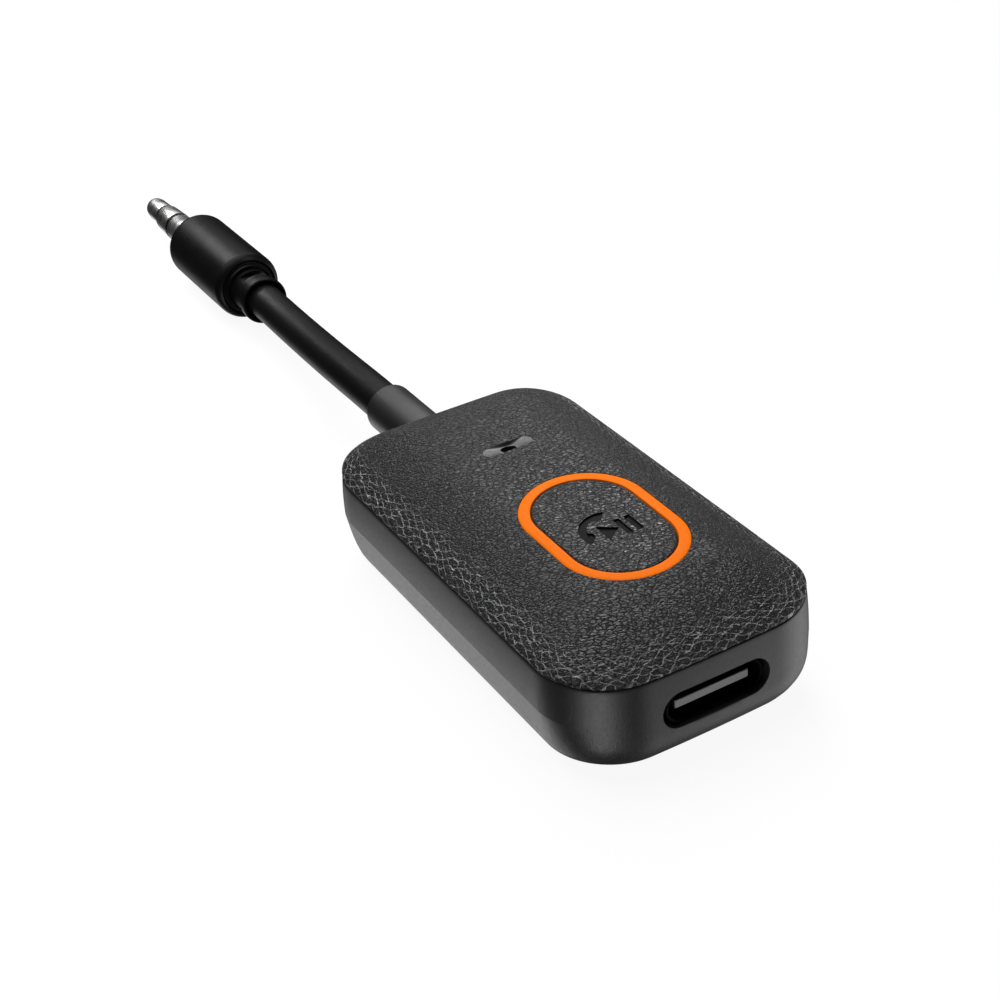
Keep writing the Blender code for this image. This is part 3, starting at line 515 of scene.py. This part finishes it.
def arc(center_y, center_radius, size, start, end, steps=8):
    """(y, radius) points on an arc; at 0 degrees it faces outwards and at 90 towards the plug."""
    points = []
    for step in range(steps + 1):
        angle = math.radians(start + (end - start) * step / steps)
        points.append((center_y + size * math.sin(angle), center_radius + size * math.cos(angle)))
    return points


def soften(profile, size, steps=3):
    """Rounds each corner of a (y, radius) profile, leaving the first and last points."""
    points = [np.array(p, float) for p in profile]
    out = [points[0]]
    for before, corner, after in zip(points, points[1:], points[2:]):
        to_before, to_after = before - corner, after - corner
        span_before, span_after = np.linalg.norm(to_before), np.linalg.norm(to_after)
        reach = min(size, 0.45 * span_before, 0.45 * span_after)
        start = corner + to_before / span_before * reach
        end = corner + to_after / span_after * reach
        for step in range(steps + 1):
            t = step / steps
            out.append((1 - t) ** 2 * start + 2 * t * (1 - t) * corner + t**2 * end)
    out.append(points[-1])
    return [tuple(p) for p in out]


def cut_with(obj, cutter):
    """Takes the cutter's shape out of the object for good."""
    modifier = obj.modifiers.new("cut", "BOOLEAN")
    modifier.operation = "DIFFERENCE"
    modifier.solver = "EXACT"
    modifier.object = cutter
    bpy.context.view_layer.update()
    graph = bpy.context.evaluated_depsgraph_get()
    mesh = bpy.data.meshes.new_from_object(obj.evaluated_get(graph))
    obj.modifiers.clear()
    obj.data = mesh
    bpy.data.objects.remove(cutter, do_unlink=True)


def cutter_object(mesh):
    obj = bpy.data.objects.new("cutter", mesh)
    bpy.context.scene.collection.objects.link(obj)
    return obj


def stadium(half_width, half_length, center=(0.0, 0.0), corner_steps=24, side_steps=10, end_steps=2):
    corner = min(half_width, half_length)
    points = rounded_outline(half_width, half_length, corner - 1e-3, 0.0, corner_steps, side_steps, end_steps)
    return points + np.array(center)


def prism(outline, low_z, high_z):
    return ring_mesh("prism", [at_height(outline, low_z), at_height(outline, high_z)])


# ---------------------------------------------------------------- housing


def mark_roll(mesh):
    """Stores where each point lies along the edge and up from it, and how far it belongs to the roll.

    The amount fades out round the middle of the back edge, where the coordinate along the edge has its seam.
    """
    places = np.empty(len(mesh.vertices) * 3, np.float32)
    mesh.vertices.foreach_get("co", places)
    x, y, z = (places.reshape(-1, 3) / MM).T
    flat_x, flat_y = HALF_WIDTH - CORNER, HALF_LENGTH - CORNER
    turn = np.arctan2(np.maximum(np.abs(y) - flat_y, 0.0), np.maximum(np.abs(x) - flat_x, 1e-6))
    on_end = turn > 1.5
    quarter = np.minimum(np.abs(y), flat_y) + turn * CORNER + np.maximum(flat_x - np.abs(x), 0.0) * on_end
    whole = flat_x + flat_y + CORNER * math.pi / 2
    along = np.sign(x) * (np.where(y < 0, -quarter, quarter) + whole)
    reach = distance_inside(x, y, HALF_WIDTH - EDGE_INSET, HALF_LENGTH - EDGE_INSET, CORNER - EDGE_INSET)
    steps = np.linspace(0.0, DOME_REACH, 400)
    share = steps / DOME_REACH
    rise = (TOP_Z - EDGE_Z - CROWN) * (1.0 - (1.0 - share) ** DOME_POWER) ** (1.0 / DOME_POWER)
    travel = np.concatenate([[0.0], np.cumsum(np.hypot(np.diff(steps), np.diff(rise)))])
    up = np.interp(np.clip(reach, 0.0, DOME_REACH), steps, travel) + np.minimum(z - EDGE_Z, 0.0)
    seam = share_smoothly((np.abs(x) - 0.2) / 0.8) + (y < 0) * 1.0
    amount = (1.0 - share_smoothly((up - 1.3) / 2.5)) * np.clip(seam, 0, 1)
    place = mesh.attributes.new("roll_place", "FLOAT_VECTOR", "POINT")
    place.data.foreach_set("vector", np.c_[along, up, np.zeros_like(up)].astype(np.float32).ravel())
    roll = mesh.attributes.new("roll", "FLOAT", "POINT")
    roll.data.foreach_set("value", amount.astype(np.float32))


def make_leather_top(material):
    inner = []
    for reach in np.linspace(HALF_WIDTH - 0.9, 1.9, 14):
        outline = housing_outline(reach)
        height = np.maximum(top_height(outline[:, 0], outline[:, 1]) - LEATHER * 1.1, RIM_Z + 0.5)
        inner.append(at_height(outline, height))
    tuck_rows = (
        (1.52, 0.5),
        (1.5, 0.02),
        (0.6, 0.0),
        (0.42, 0.01),
        (0.32, 0.045),
        (0.265, 0.1),
        (0.243, 0.17),
    )
    tuck = [at_height(housing_outline(inset), RIM_Z + rise) for inset, rise in tuck_rows]
    outer = []
    far_reaches = np.geomspace(0.12, HALF_WIDTH - EDGE_INSET - 0.06, 56)
    for reach in (0.0, 0.01, 0.03, 0.07, *far_reaches):
        outline = housing_outline(EDGE_INSET + reach)
        outer.append(at_height(outline, top_height(outline[:, 0], outline[:, 1])))
    mesh = ring_mesh("leather_top", inner + tuck + outer)
    top = new_object("leather_top", mesh, material)
    hole = stadium(RING_HALF_WIDTH + 0.02, RING_HALF_LENGTH + 0.02, (0.0, BUTTON_Y))
    cut_with(top, cutter_object(prism(hole, RIM_Z, TOP_Z + 2.0)))
    slot = stadium(INSERT_HALF_LENGTH + 0.02, INSERT_HALF_WIDTH + 0.02, (0.0, MIC_Y))
    cut_with(top, cutter_object(prism(slot, RIM_Z, TOP_Z + 2.0)))
    mark_roll(top.data)
    smooth_below(top.data, 40)
    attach(top, "housing")
    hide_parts("leather_skin")


def crease_share(outline):
    """1 on the long straight sides, fading to 0 round each corner, where the crease runs out."""
    out_x = np.abs(outline[:, 0]) - (HALF_WIDTH - CORNER)
    out_y = np.maximum(np.abs(outline[:, 1]) - (HALF_LENGTH - CORNER), 0.0)
    turn = np.degrees(np.arctan2(out_y, np.maximum(out_x, 1e-6)))
    return 1.0 - share_smoothly(turn / 58.0)


def side_inset(z):
    """How far the long side lies in from the widest outline at a height."""
    if z >= CREASE_Z:
        return BAND_LEAN * ((z - CREASE_Z) / (RIM_Z - CREASE_Z)) ** BAND_POWER
    slope = FACET_END_INSET / (CREASE_Z - FACET_END_Z)
    if z >= FACET_END_Z:
        return (CREASE_Z - z) * slope
    u = np.linspace(0.0, 1.0, 200)
    bend_z = 0.2
    bend_inset = (CREASE_Z - bend_z) * slope * 0.98
    inset = (1 - u) ** 2 * FACET_END_INSET + 2 * u * (1 - u) * bend_inset + u**2 * SIDE_FOOT_INSET
    height = (1 - u) ** 2 * FACET_END_Z + 2 * u * (1 - u) * bend_z
    return float(np.interp(-z, -height, inset))


def end_inset(z):
    """How far the front and the back lie in at a height."""
    if z >= END_FOOT_Z:
        return BAND_LEAN * ((z - END_FOOT_Z) / (RIM_Z - END_FOOT_Z)) ** BAND_POWER
    return END_FOOT_INSET * (1.0 - math.sqrt(1.0 - ((END_FOOT_Z - z) / END_FOOT_Z) ** 2))


def make_case(material):
    share = crease_share(housing_outline(0.0))[:, None]
    outer = []
    foot = np.concatenate([[0.0], np.geomspace(0.012, FACET_END_Z, 20)])
    facet = (2.55, 2.8, 3.2, 3.6, 4.05, 4.4, 4.8, 5.1, 5.3, 5.42)
    band = (CREASE_Z, 5.5, 5.7, 6.2, 6.9, 7.6, 8.2, 8.6, 8.86)
    for z in (*foot, *facet, *band):
        keep = CORNER_KEEP * (1.0 - share_smoothly(z / END_FOOT_Z))
        wide, narrow = housing_outline(side_inset(z), keep), housing_outline(end_inset(z), keep)
        outer.append(at_height(wide * share + narrow * (1 - share), z))
    for more, drop in ((0.01, 0.06), (0.05, 0.015), (0.12, 0.0)):
        outer.append(at_height(housing_outline(BAND_LEAN + more), RIM_Z - drop))
    inner = [
        at_height(housing_outline(CASE_WALL), RIM_Z),
        at_height(housing_outline(1.35), 5.9),
        at_height(housing_outline(1.95), 2.6),
        at_height(housing_outline(3.6), CASE_FLOOR_Z),
        at_height(housing_outline(HALF_WIDTH - 0.3), CASE_FLOOR_Z),
    ]
    mesh = ring_mesh("case_shell", outer + inner)
    case = new_object("case_shell", mesh, material)
    cut_port(case)
    cut_gland_hole(case)
    smooth_below(case.data, 30)
    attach(case, "housing")
    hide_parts("lower_case")


def cut_port(case):
    """The USB-C opening, with a rounded lip at the housing's face."""
    lip_steps = 6
    lip_sections = []
    for step in range(lip_steps + 1):
        angle = math.pi / 2 * step / lip_steps
        grow = PORT_LIP * (1 - math.sin(angle))
        depth = PORT_LIP * (1 - math.cos(angle))
        lip_sections.append((grow, -HALF_LENGTH + depth))
    sections = [(PORT_LIP + 0.05, -HALF_LENGTH - 1.0), *lip_sections, (0.0, -HALF_LENGTH + 3.0)]
    levels = []
    for grow, y in sections:
        levels.append(along_y(stadium(PORT_HALF_WIDTH + grow, PORT_HALF_HEIGHT + grow), y, PORT_Z))
    cut_with(case, cutter_object(ring_mesh("port", levels)))


def cut_gland_hole(case):
    outside, inside = HALF_LENGTH + 3, 18.0
    profile = [(outside, 0.0), (outside, GLAND_HOLE_RADIUS), (inside, GLAND_HOLE_RADIUS), (inside, 0.0)]
    cut_with(case, cutter_object(lathe_mesh("hole", profile, 0.0, CABLE_Z)))


# ---------------------------------------------------------------- button, ring and microphone insert


def make_ring(material):
    depth = 1.5
    edge = 0.1
    section = [(0.0, -depth), (0.0, -edge), (0.3 * edge, -0.3 * edge), (edge, 0.0)]
    section += [(share * RING_BAND, 0.0) for share in (0.3, 0.5, 0.7)]
    section += [(RING_BAND - d, h) for d, h in reversed(section[:4])]
    levels = []
    for inset, height in section:
        outline = stadium(RING_HALF_WIDTH - inset, RING_HALF_LENGTH - inset, (0.0, BUTTON_Y))
        levels.append(at_height(outline, top_height(outline[:, 0], outline[:, 1]) + height))
    ring = new_object("orange_ring", ring_mesh("orange_ring", levels, closed=True), material)
    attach(ring, "housing")
    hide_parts("accent_ring")


def polar(center, radius, degrees):
    turn = np.radians(degrees)
    return np.c_[center[0] + radius * np.cos(turn), center[1] + radius * np.sin(turn)]


def handset_outline():
    """A telephone handset seen from the side: a thick arc with a fuller block at each end."""
    center = (0.0, BUTTON_Y - 1.03)
    back, grip, block = 2.53, 1.87, 1.45
    return np.concatenate(
        [
            polar(center, back, np.linspace(73.0, 198.0, 30)),
            polar(center, back - 0.16, [202.0]),
            polar(center, block + 0.1, [190.0]),
            polar(center, block, [185.0, 173.0]),
            polar(center, block + 0.12, [167.5]),
            polar(center, grip, np.linspace(163.0, 109.0, 16)),
            polar(center, block + 0.12, [104.5]),
            polar(center, block, [99.0, 88.5]),
            polar(center, block + 0.1, [85.0]),
            polar(center, back - 0.14, [71.0]),
        ]
    )


def play_outline():
    middle, half = BUTTON_Y - 1.22, 1.12
    return np.array([(-0.83, middle - half), (0.66, middle), (-0.83, middle + half)])


def bar_outline(left, right):
    middle, half = BUTTON_Y - 1.26, 1.11
    low, high = middle - half, middle + half
    return np.array([(left, low), (right, low), (right, high), (left, high)])


def make_button(leather, symbol):
    depth = 0.7
    grow = 0.05
    section = [(0.0, -depth), (0.0, -0.2), (0.02, -0.1), (0.07, -0.035), (0.14, -0.008), (0.22, 0.0)]
    section += [(inset, 0.0) for inset in np.arange(0.36, BUTTON_HALF_WIDTH - 0.05, 0.16)]
    levels = []
    for inset, height in section:
        half_width, half_length = BUTTON_HALF_WIDTH + grow - inset, BUTTON_HALF_LENGTH + grow - inset
        outline = stadium(half_width, half_length, (0.0, BUTTON_Y), 28, 30, 2)
        levels.append(at_height(outline, top_height(outline[:, 0], outline[:, 1]) + height))
    face = new_object("button_face", ring_mesh("button_face", levels), leather)
    face.data.materials.append(symbol)
    cuts = (handset_outline(), play_outline(), bar_outline(0.77, 1.31), bar_outline(1.71, 2.3))
    for outline in cuts:
        ground = top_height(outline[:, 0], outline[:, 1])
        mesh = ring_mesh("symbol", [at_height(outline, ground - 0.15), at_height(outline, ground + 1.0)])
        mesh.materials.append(leather)
        mesh.materials.append(symbol)
        for polygon in mesh.polygons:
            polygon.material_index = 1
        cut_with(face, cutter_object(mesh))
    smooth_below(face.data, 35)
    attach(face, "button")
    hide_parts("button_leather")


def make_mic_insert(plastic):
    """A boat-shaped scoop that falls from both ends to a sound hole in the middle."""
    scoop = 0.27
    valley_x = 0.45
    hole_x, hole_y, hole_shift = 0.74, 0.5, -0.06
    rim = stadium(INSERT_HALF_LENGTH, INSERT_HALF_WIDTH, (0.0, 0.0), 16, 4, 32)
    angle = np.arctan2(rim[:, 1] / INSERT_HALF_WIDTH, rim[:, 0] / INSERT_HALF_LENGTH)
    mouth = np.c_[hole_x * np.cos(angle), hole_y * np.sin(angle) + hole_shift]
    levels = [at_height(rim + (0.0, MIC_Y), TOP_Z - 1.6)]
    for share in (0.0, 0.05, 0.12, 0.22, 0.35, 0.5, 0.65, 0.8, 0.92, 1.0):
        flat = rim * (1 - share) + mouth * share
        to_valley = flat[:, 0] - valley_x
        run = INSERT_HALF_LENGTH - np.sign(to_valley) * valley_x
        valley = scoop * np.clip(1.0 - np.abs(to_valley) / run, 0.0, 1.0)
        wall = share_smoothly(0.5 + share / 2.0) * 2.0 - 1.0
        ground = top_height(flat[:, 0], flat[:, 1] + MIC_Y)
        levels.append(at_height(flat + (0.0, MIC_Y), ground - 0.02 - (valley + 0.03) * wall))
    levels.append(at_height(mouth * 0.97 + (0.0, MIC_Y), TOP_Z - 1.0))
    levels.append(at_height(mouth * 0.9 + (0.0, MIC_Y), TOP_Z - 1.5))
    insert = new_object("mic_scoop", ring_mesh("mic_scoop", levels), plastic, 35.0)
    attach(insert, "housing")
    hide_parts("mic_insert")


# ---------------------------------------------------------------- USB-C port


def make_usb_shell(material):
    half_width = SHELL_HIGH[0]
    half_height = (SHELL_HIGH[2] - SHELL_LOW[2]) / 2
    front, back = SHELL_LOW[1], SHELL_HIGH[1]
    sections = [(0.0, back), (0.0, front + 0.1), (0.04, front + 0.03), (0.1, front)]
    sections += [(0.2, front), (0.27, front + 0.05), (0.3, front + 0.16), (0.3, back)]
    levels = [along_y(stadium(half_width - s, half_height - s), y, PORT_Z) for s, y in sections]
    shell = new_object("usb_shell_face", ring_mesh("usb_shell_face", levels, closed=True), material)
    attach(shell, "housing")
    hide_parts("usb_shell")


def make_usb_tongue(material, tip, contact):
    front = TONGUE_LOW[1]
    sections = [(0.06, 0.04, front)]
    sections += [(0.0, 0.0, front + depth) for depth in (0.06, 0.2, 3.4)]
    sections += [(-0.75, -0.85, front + 3.5), (-0.75, -0.85, TONGUE_HIGH[1])]
    levels = []
    for side, top, y in sections:
        outline = rounded_outline(TONGUE_HALF_WIDTH - side, TONGUE_HALF_HEIGHT - top, 0.06, 0.0, 3, 2, 6)
        levels.append(along_y(outline, y, PORT_Z))
    mesh = ring_mesh("usb_tongue_face", levels)
    tongue = new_object("usb_tongue_face", mesh, material)
    mesh.materials.append(tip)
    # The front face takes the light grey copy of the moulding: painted light where it faces the front.
    for polygon in mesh.polygons:
        if polygon.center[1] < (front + 0.1) * MM:
            polygon.material_index = 1
    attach(tongue, "housing")
    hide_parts("usb_tongue")
    make_usb_contacts(front + 2.0, contact)


def make_usb_contacts(y, contact):
    """Two rows of contact pads, just proud of the tongue's upper and lower face."""
    pads = bmesh.new()
    for side in (-1, 1):
        for index in range(CONTACTS_PER_SIDE):
            x = (index - (CONTACTS_PER_SIDE - 1) / 2) * CONTACT_PITCH
            z = PORT_Z + side * (TONGUE_HALF_HEIGHT + 0.002)
            matrix = Matrix.Translation((x * MM, y * MM, z * MM))
            matrix = matrix @ Matrix.Diagonal((0.26 * MM, 2.1 * MM, 0.03 * MM, 1.0))
            bmesh.ops.create_cube(pads, size=1.0, matrix=matrix)
    mesh = bpy.data.meshes.new("usb_contacts")
    pads.to_mesh(mesh)
    pads.free()
    contacts = new_object("usb_contacts", mesh, contact)
    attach(contacts, "housing")


# ---------------------------------------------------------------- cable and plug


def smooth_route(points, per_span):
    """Points on a Catmull-Rom curve through the route's own points."""
    padded = [points[0], *points, points[-1]]
    route = []
    for before, start, end, after in zip(padded, padded[1:], padded[2:], padded[3:]):
        for step in range(per_span):
            t = step / per_span
            weights = (
                -0.5 * t + t**2 - 0.5 * t**3,
                1 - 2.5 * t**2 + 1.5 * t**3,
                0.5 * t + 2 * t**2 - 1.5 * t**3,
                -0.5 * t**2 + 0.5 * t**3,
            )
            corners = (before, start, end, after)
            route.append(tuple(sum(w * c[k] for w, c in zip(weights, corners)) for k in range(3)))
    return [*route, points[-1]]


def make_cable(material):
    """The jacket runs a little way into the gland and into the collar, so that no end of it shows."""
    start, end = CABLE_ROUTE[0], CABLE_ROUTE[-1]
    inside_gland = (start[0], start[1] - 0.6, start[2])
    inside_collar = (end[0], end[1] + 1.6, end[2])
    route = smooth_route((inside_gland, *CABLE_ROUTE, inside_collar), 5)
    curve = bpy.data.curves.new("cable_jacket", "CURVE")
    curve.dimensions = "3D"
    curve.bevel_depth = CABLE_RADIUS * MM
    curve.bevel_resolution = 10
    curve.use_fill_caps = True
    spline = curve.splines.new("POLY")
    spline.points.add(len(route) - 1)
    for point, place in zip(spline.points, route):
        point.co = (*(c * MM for c in place), 1.0)
    spline.use_smooth = True
    curve.materials.append(material)
    cable = bpy.data.objects.new("cable_jacket", curve)
    bpy.context.scene.collection.objects.link(cable)
    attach(cable, "housing")
    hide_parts("audio_cable")
    length = sum(math.dist(a, b) for a, b in zip(route, route[1:])) * MM
    return cable, inside_gland, length


def make_gland(material):
    end = GLAND_HIGH[1]
    shoulder, bore = 0.45, CABLE_BORE_RADIUS
    flange_front, flange_rear, flange_radius = 20.2, 18.9, 3.1
    profile = [(end - 1.2, bore), (end - 0.06, bore), (end, bore + 0.05)]
    profile += arc(end - shoulder, GLAND_RADIUS - shoulder, shoulder, 90, 0)
    profile += [(flange_front, GLAND_RADIUS), (flange_front, flange_radius), (19.1, flange_radius)]
    profile += [(flange_rear, 2.8), (flange_rear, bore)]
    gland = new_object("gland_sleeve", lathe_mesh("gland_sleeve", profile, 0.0, CABLE_Z), material)
    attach(gland, "housing")
    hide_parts("cable_gland")
    return gland


def make_collar(material):
    rear, front = COLLAR_LOW[1], COLLAR_HIGH[1]
    flange, bore = COLLAR_FLANGE_RADIUS, CABLE_BORE_RADIUS
    profile = [(rear + 1.9, bore), (rear + 1.3, 2.0), (rear + 0.35, 2.2), (rear + 0.08, 2.36), (rear, 2.46)]
    profile += [(rear, 2.55), (rear + 0.08, 2.63), (rear + 0.2, flange), (rear + 0.85, flange)]
    profile += [(rear + 0.93, 2.6), (rear + 1.0, 2.5), (rear + 1.05, 2.42), (rear + 1.15, COLLAR_RADIUS)]
    profile += [(front, COLLAR_RADIUS), (front, bore)]
    collar = new_object("collar", lathe_mesh("collar", profile, PLUG_X, PLUG_Z), material)
    slot = stadium(1.9, 0.62, (PLUG_X, front - 1.25), 10, 2, 10)
    cut_with(collar, cutter_object(prism(slot, PLUG_Z + 1.95, PLUG_Z + 4.0)))
    smooth_below(collar.data, 30)
    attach(collar, "housing")
    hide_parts("plug_collar")
    return collar


def make_boot(material):
    front, rear = BOOT_HIGH[1], BOOT_LOW[1]
    radius = (BOOT_HIGH[2] - BOOT_LOW[2]) / 2
    profile = [(front - 2.5, 1.8), (front - 0.1, 1.8), (front, 1.9)]
    profile += arc(front - 1.3, radius - 1.3, 1.3, 90, 0)
    profile += arc(rear + 1.45, radius - 1.2, 1.2, 0, -60)
    profile += [(rear + 0.62, 3.1), (rear + 0.5, 3.02), (rear + 0.42, 2.95), (rear + 0.42, 2.86)]
    profile += [(rear + 0.2, 2.8), (rear + 0.1, 2.74), (rear + 0.1, 2.62)]
    profile += [(rear + 0.3, 2.5), (rear + 0.3, 1.8)]
    boot = new_object("boot", lathe_mesh("boot", profile, PLUG_X, PLUG_Z), material)
    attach(boot, "housing")
    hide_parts("plug_boot")
    return boot


def make_jack(metal, insulator):
    boxes = {name: in_mm(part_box(name)) for name in JACK_NODES}
    sleeve_rear, sleeve_front = BOOT_HIGH[1] - 2.4, boxes["jack_sleeve"][1][1]
    ring_rear, ring_front = boxes["jack_ring"][0][1], boxes["jack_ring"][1][1]
    tip_rear, tip_front = boxes["jack_tip"][0][1], boxes["jack_tip"][1][1]
    point = [(tip_front, 0.75), (tip_front - 0.12, 1.0), (tip_front - 0.45, 1.22), (tip_front - 1.0, 1.32)]
    profiles = {
        "jack_sleeve": ([(sleeve_front, SLEEVE_RADIUS), (sleeve_rear, SLEEVE_RADIUS)], metal),
        "jack_insulator_rear": ([(ring_rear, 1.7), (sleeve_front, 1.7)], insulator),
        "jack_ring": ([(ring_front, 1.6), (ring_rear, 1.74)], metal),
        "jack_insulator_front": ([(tip_rear, 1.4), (ring_front, 1.45)], insulator),
        "jack_tip": ([*point, (tip_rear, 1.42)], metal),
    }
    pieces = []
    for node, (skin, material) in profiles.items():
        name = node + "_face"
        profile = soften([(skin[0][0], 0.0), *skin, (skin[-1][0], 0.0)], 0.09)
        piece = new_object(name, lathe_mesh(name, profile, PLUG_X, PLUG_Z), material)
        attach(piece, "housing")
        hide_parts(node)
        pieces.append(piece)
    return pieces


# ---------------------------------------------------------------- inner nodes


def dress_inner_nodes(case_plastic, satin):
    looks = {
        "board": board_material(),
        "chip": speckled("chip_epoxy", (0.016, 0.016, 0.018), (0.03, 0.03, 0.032), 0.5),
        "steel": metal_material("switch_steel", (0.68, 0.68, 0.68, 1.0), 0.3),
        "ceramic": speckled("ceramic", (0.68, 0.66, 0.6), (0.8, 0.78, 0.74), 0.4),
        "foil": metal_material("battery_foil", (0.62, 0.63, 0.65, 1.0), 0.34, 0.00001, (0.2, 1.0, 1.0)),
        "foam": speckled("foam", (0.015, 0.015, 0.015), (0.04, 0.04, 0.04), 0.9, 3000.0, 0.00008),
        "red": speckled("red_wire", (0.5, 0.012, 0.01), (0.65, 0.02, 0.015), 0.42),
        "white": speckled("white_wire", (0.74, 0.74, 0.72), (0.84, 0.84, 0.82), 0.42),
        "copper": metal_material("bare_copper", (0.8, 0.36, 0.2, 1.0), 0.28),
        "case": case_plastic,
        "satin": satin,
    }
    inner = {
        "case": ("top_cover", "button_cap"),
        "board": ("main_board", "battery_board"),
        "chip": ("bluetooth_chip", "charger_chip", "power_inductor", "switch_base", "switch_plunger"),
        "steel": ("crystal", "microphone", "switch_lid", "switch_dome"),
        "ceramic": ("antenna", "status_led"),
        "foil": ("battery_cell",),
        "foam": ("battery_pad", "mic_gasket"),
        "red": ("battery_lead_red", "wire_right"),
        "white": ("wire_left",),
        "copper": ("wire_ground",),
        "satin": ("battery_lead_black",),
    }
    for look, nodes in inner.items():
        for node in nodes:
            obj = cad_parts[node]
            obj.data.materials.clear()
            obj.data.materials.append(looks[look])


# ---------------------------------------------------------------- floor and lights


def make_floor():
    """A pale floor that glows, so that it stays as white as a studio's sweep. It takes soft shadows."""
    n = Nodes("pale_floor")
    tone = n.noise(n.object_place(), 12.0, 2.0)
    color = n.blend(tone, gray(0.1), gray(0.12))
    n.set(Base_Color=color, Roughness=0.8, Specular_IOR_Level=0.0)
    n.shader.inputs["Emission Color"].default_value = (1.0, 1.0, 1.0, 1.0)
    n.shader.inputs["Emission Strength"].default_value = 0.92
    n.material.cycles.emission_sampling = "NONE"
    mesh = bpy.data.meshes.new("floor")
    half = 3.0
    corners = [(-half, -half, 0), (half, -half, 0), (half, half, 0), (-half, half, 0)]
    mesh.from_pydata(corners, [], [(0, 1, 2, 3)])
    mesh.materials.append(n.material)
    floor = bpy.data.objects.new("floor", mesh)
    floor.location.z = -0.00002
    floor.visible_diffuse = False
    floor.visible_glossy = False
    floor.visible_shadow = False
    bpy.context.scene.collection.objects.link(floor)


def soft_light(name, place, target, size, power, spread=180):
    """A rectangular lamp; its place, target and size are in metres, its spread in degrees."""
    light = bpy.data.lights.new(name, "AREA")
    light.shape = "RECTANGLE"
    light.size, light.size_y = size
    light.energy = power
    light.spread = math.radians(spread)
    holder = bpy.data.objects.new(name, light)
    holder.location = place
    holder.rotation_euler = (Vector(place) - Vector(target)).to_track_quat("Z", "Y").to_euler()
    bpy.context.scene.collection.objects.link(holder)


def make_world():
    """A dark surrounding, brighter overhead, with a soft glow in each of the directions in GLOWS."""
    world = bpy.data.worlds.new("studio")
    world.use_nodes = True
    tree = world.node_tree
    place = tree.nodes.new("ShaderNodeTexCoord").outputs["Generated"]
    split = tree.nodes.new("ShaderNodeSeparateXYZ")
    tree.links.new(place, split.inputs[0])
    level = tree.nodes.new("ShaderNodeMapRange")
    level.inputs[1].default_value = -1.0
    level.inputs[2].default_value = 1.0
    tree.links.new(split.outputs["Z"], level.inputs[0])
    ramp = tree.nodes.new("ShaderNodeValToRGB")
    tree.links.new(level.outputs[0], ramp.inputs[0])
    ramp.color_ramp.interpolation = "EASE"
    while len(ramp.color_ramp.elements) < len(WORLD_STOPS):
        ramp.color_ramp.elements.new(0.5)
    for element, (height, strength) in zip(ramp.color_ramp.elements, WORLD_STOPS):
        element.position = (height + 1.0) / 2.0
        element.color = (strength, strength, strength, 1.0)
    total = ramp.outputs[0]
    for direction, start, strength in GLOWS:
        dot = tree.nodes.new("ShaderNodeVectorMath")
        dot.operation = "DOT_PRODUCT"
        tree.links.new(place, dot.inputs[0])
        dot.inputs[1].default_value = Vector(direction).normalized()
        glow = tree.nodes.new("ShaderNodeMapRange")
        glow.interpolation_type = "SMOOTHSTEP"
        glow.inputs[1].default_value = start
        glow.inputs[2].default_value = 1.0
        glow.inputs[4].default_value = strength
        tree.links.new(dot.outputs["Value"], glow.inputs[0])
        add = tree.nodes.new("ShaderNodeMix")
        add.data_type = "RGBA"
        add.blend_type = "ADD"
        add.clamp_result = False
        add.inputs[0].default_value = 1.0
        tree.links.new(total, add.inputs[6])
        tree.links.new(glow.outputs[0], add.inputs[7])
        total = add.outputs[2]
    tree.links.new(total, tree.nodes["Background"].inputs["Color"])
    bpy.context.scene.world = world


def make_lights():
    make_world()
    middle = (0.0, 0.01, 0.0)
    soft_light("overhead", (-0.06, 0.15, 0.4), middle, (0.42, 0.4), 1.45)
    soft_light("over_button", (0.03, 0.042, 0.056), (0.0, -0.016, 0.013), (0.03, 0.03), 0.025)
    soft_light("over_plug", (-0.006, 0.15, 0.06), (0.0014, 0.09, 0.004), (0.045, 0.03), 0.0027, spread=40)
    bpy.context.scene.view_settings.view_transform = "Standard"


# ---------------------------------------------------------------- the whole


def main():
    make_camera()
    leather = leather_material()
    case_plastic = case_material()
    satin = satin_black("satin_boot_plastic", 0.004, 0.38, gloss=0.12)
    jacket = satin_black("cable_jacket_rubber", 0.005, 0.42, 0.00002, gloss=0.17)
    nickel = metal_material("nickel_plate", (0.93, 0.93, 0.92, 1.0), 0.27, 0.000003, (0.3, 1.0, 0.3))
    insulator = satin_black("black_insulator", 0.003, 0.5, gloss=0.1)
    steel = metal_material("blackened_steel", (0.003, 0.003, 0.003, 1.0), 0.65)
    # A light grey copy of the port moulding for the tongue's front face: painted light where that face is lit
    # from the front.
    moulding = speckled("port_moulding", (0.2, 0.2, 0.203), (0.25, 0.25, 0.254), 0.5)
    gold = metal_material("gold_contacts", (0.5, 0.36, 0.14, 1.0), 0.35)

    make_leather_top(leather)
    make_case(case_plastic)
    make_ring(orange_material())
    make_button(leather, satin_black("pressed_symbol", 0.005, 0.6, gloss=0.05))
    make_mic_insert(case_plastic)
    make_usb_shell(steel)
    make_usb_tongue(satin_black("port_moulding_dark", 0.012, 0.5), moulding, gold)
    gland = make_gland(satin_black("satin_gland_plastic", 0.01, 0.42, gloss=0.9))
    cable, exit_place, length = make_cable(jacket)
    collar = make_collar(satin)
    boot = make_boot(satin)
    jack = make_jack(nickel, insulator)
    dress_inner_nodes(case_plastic, satin)
    make_floor()
    make_lights()


main()
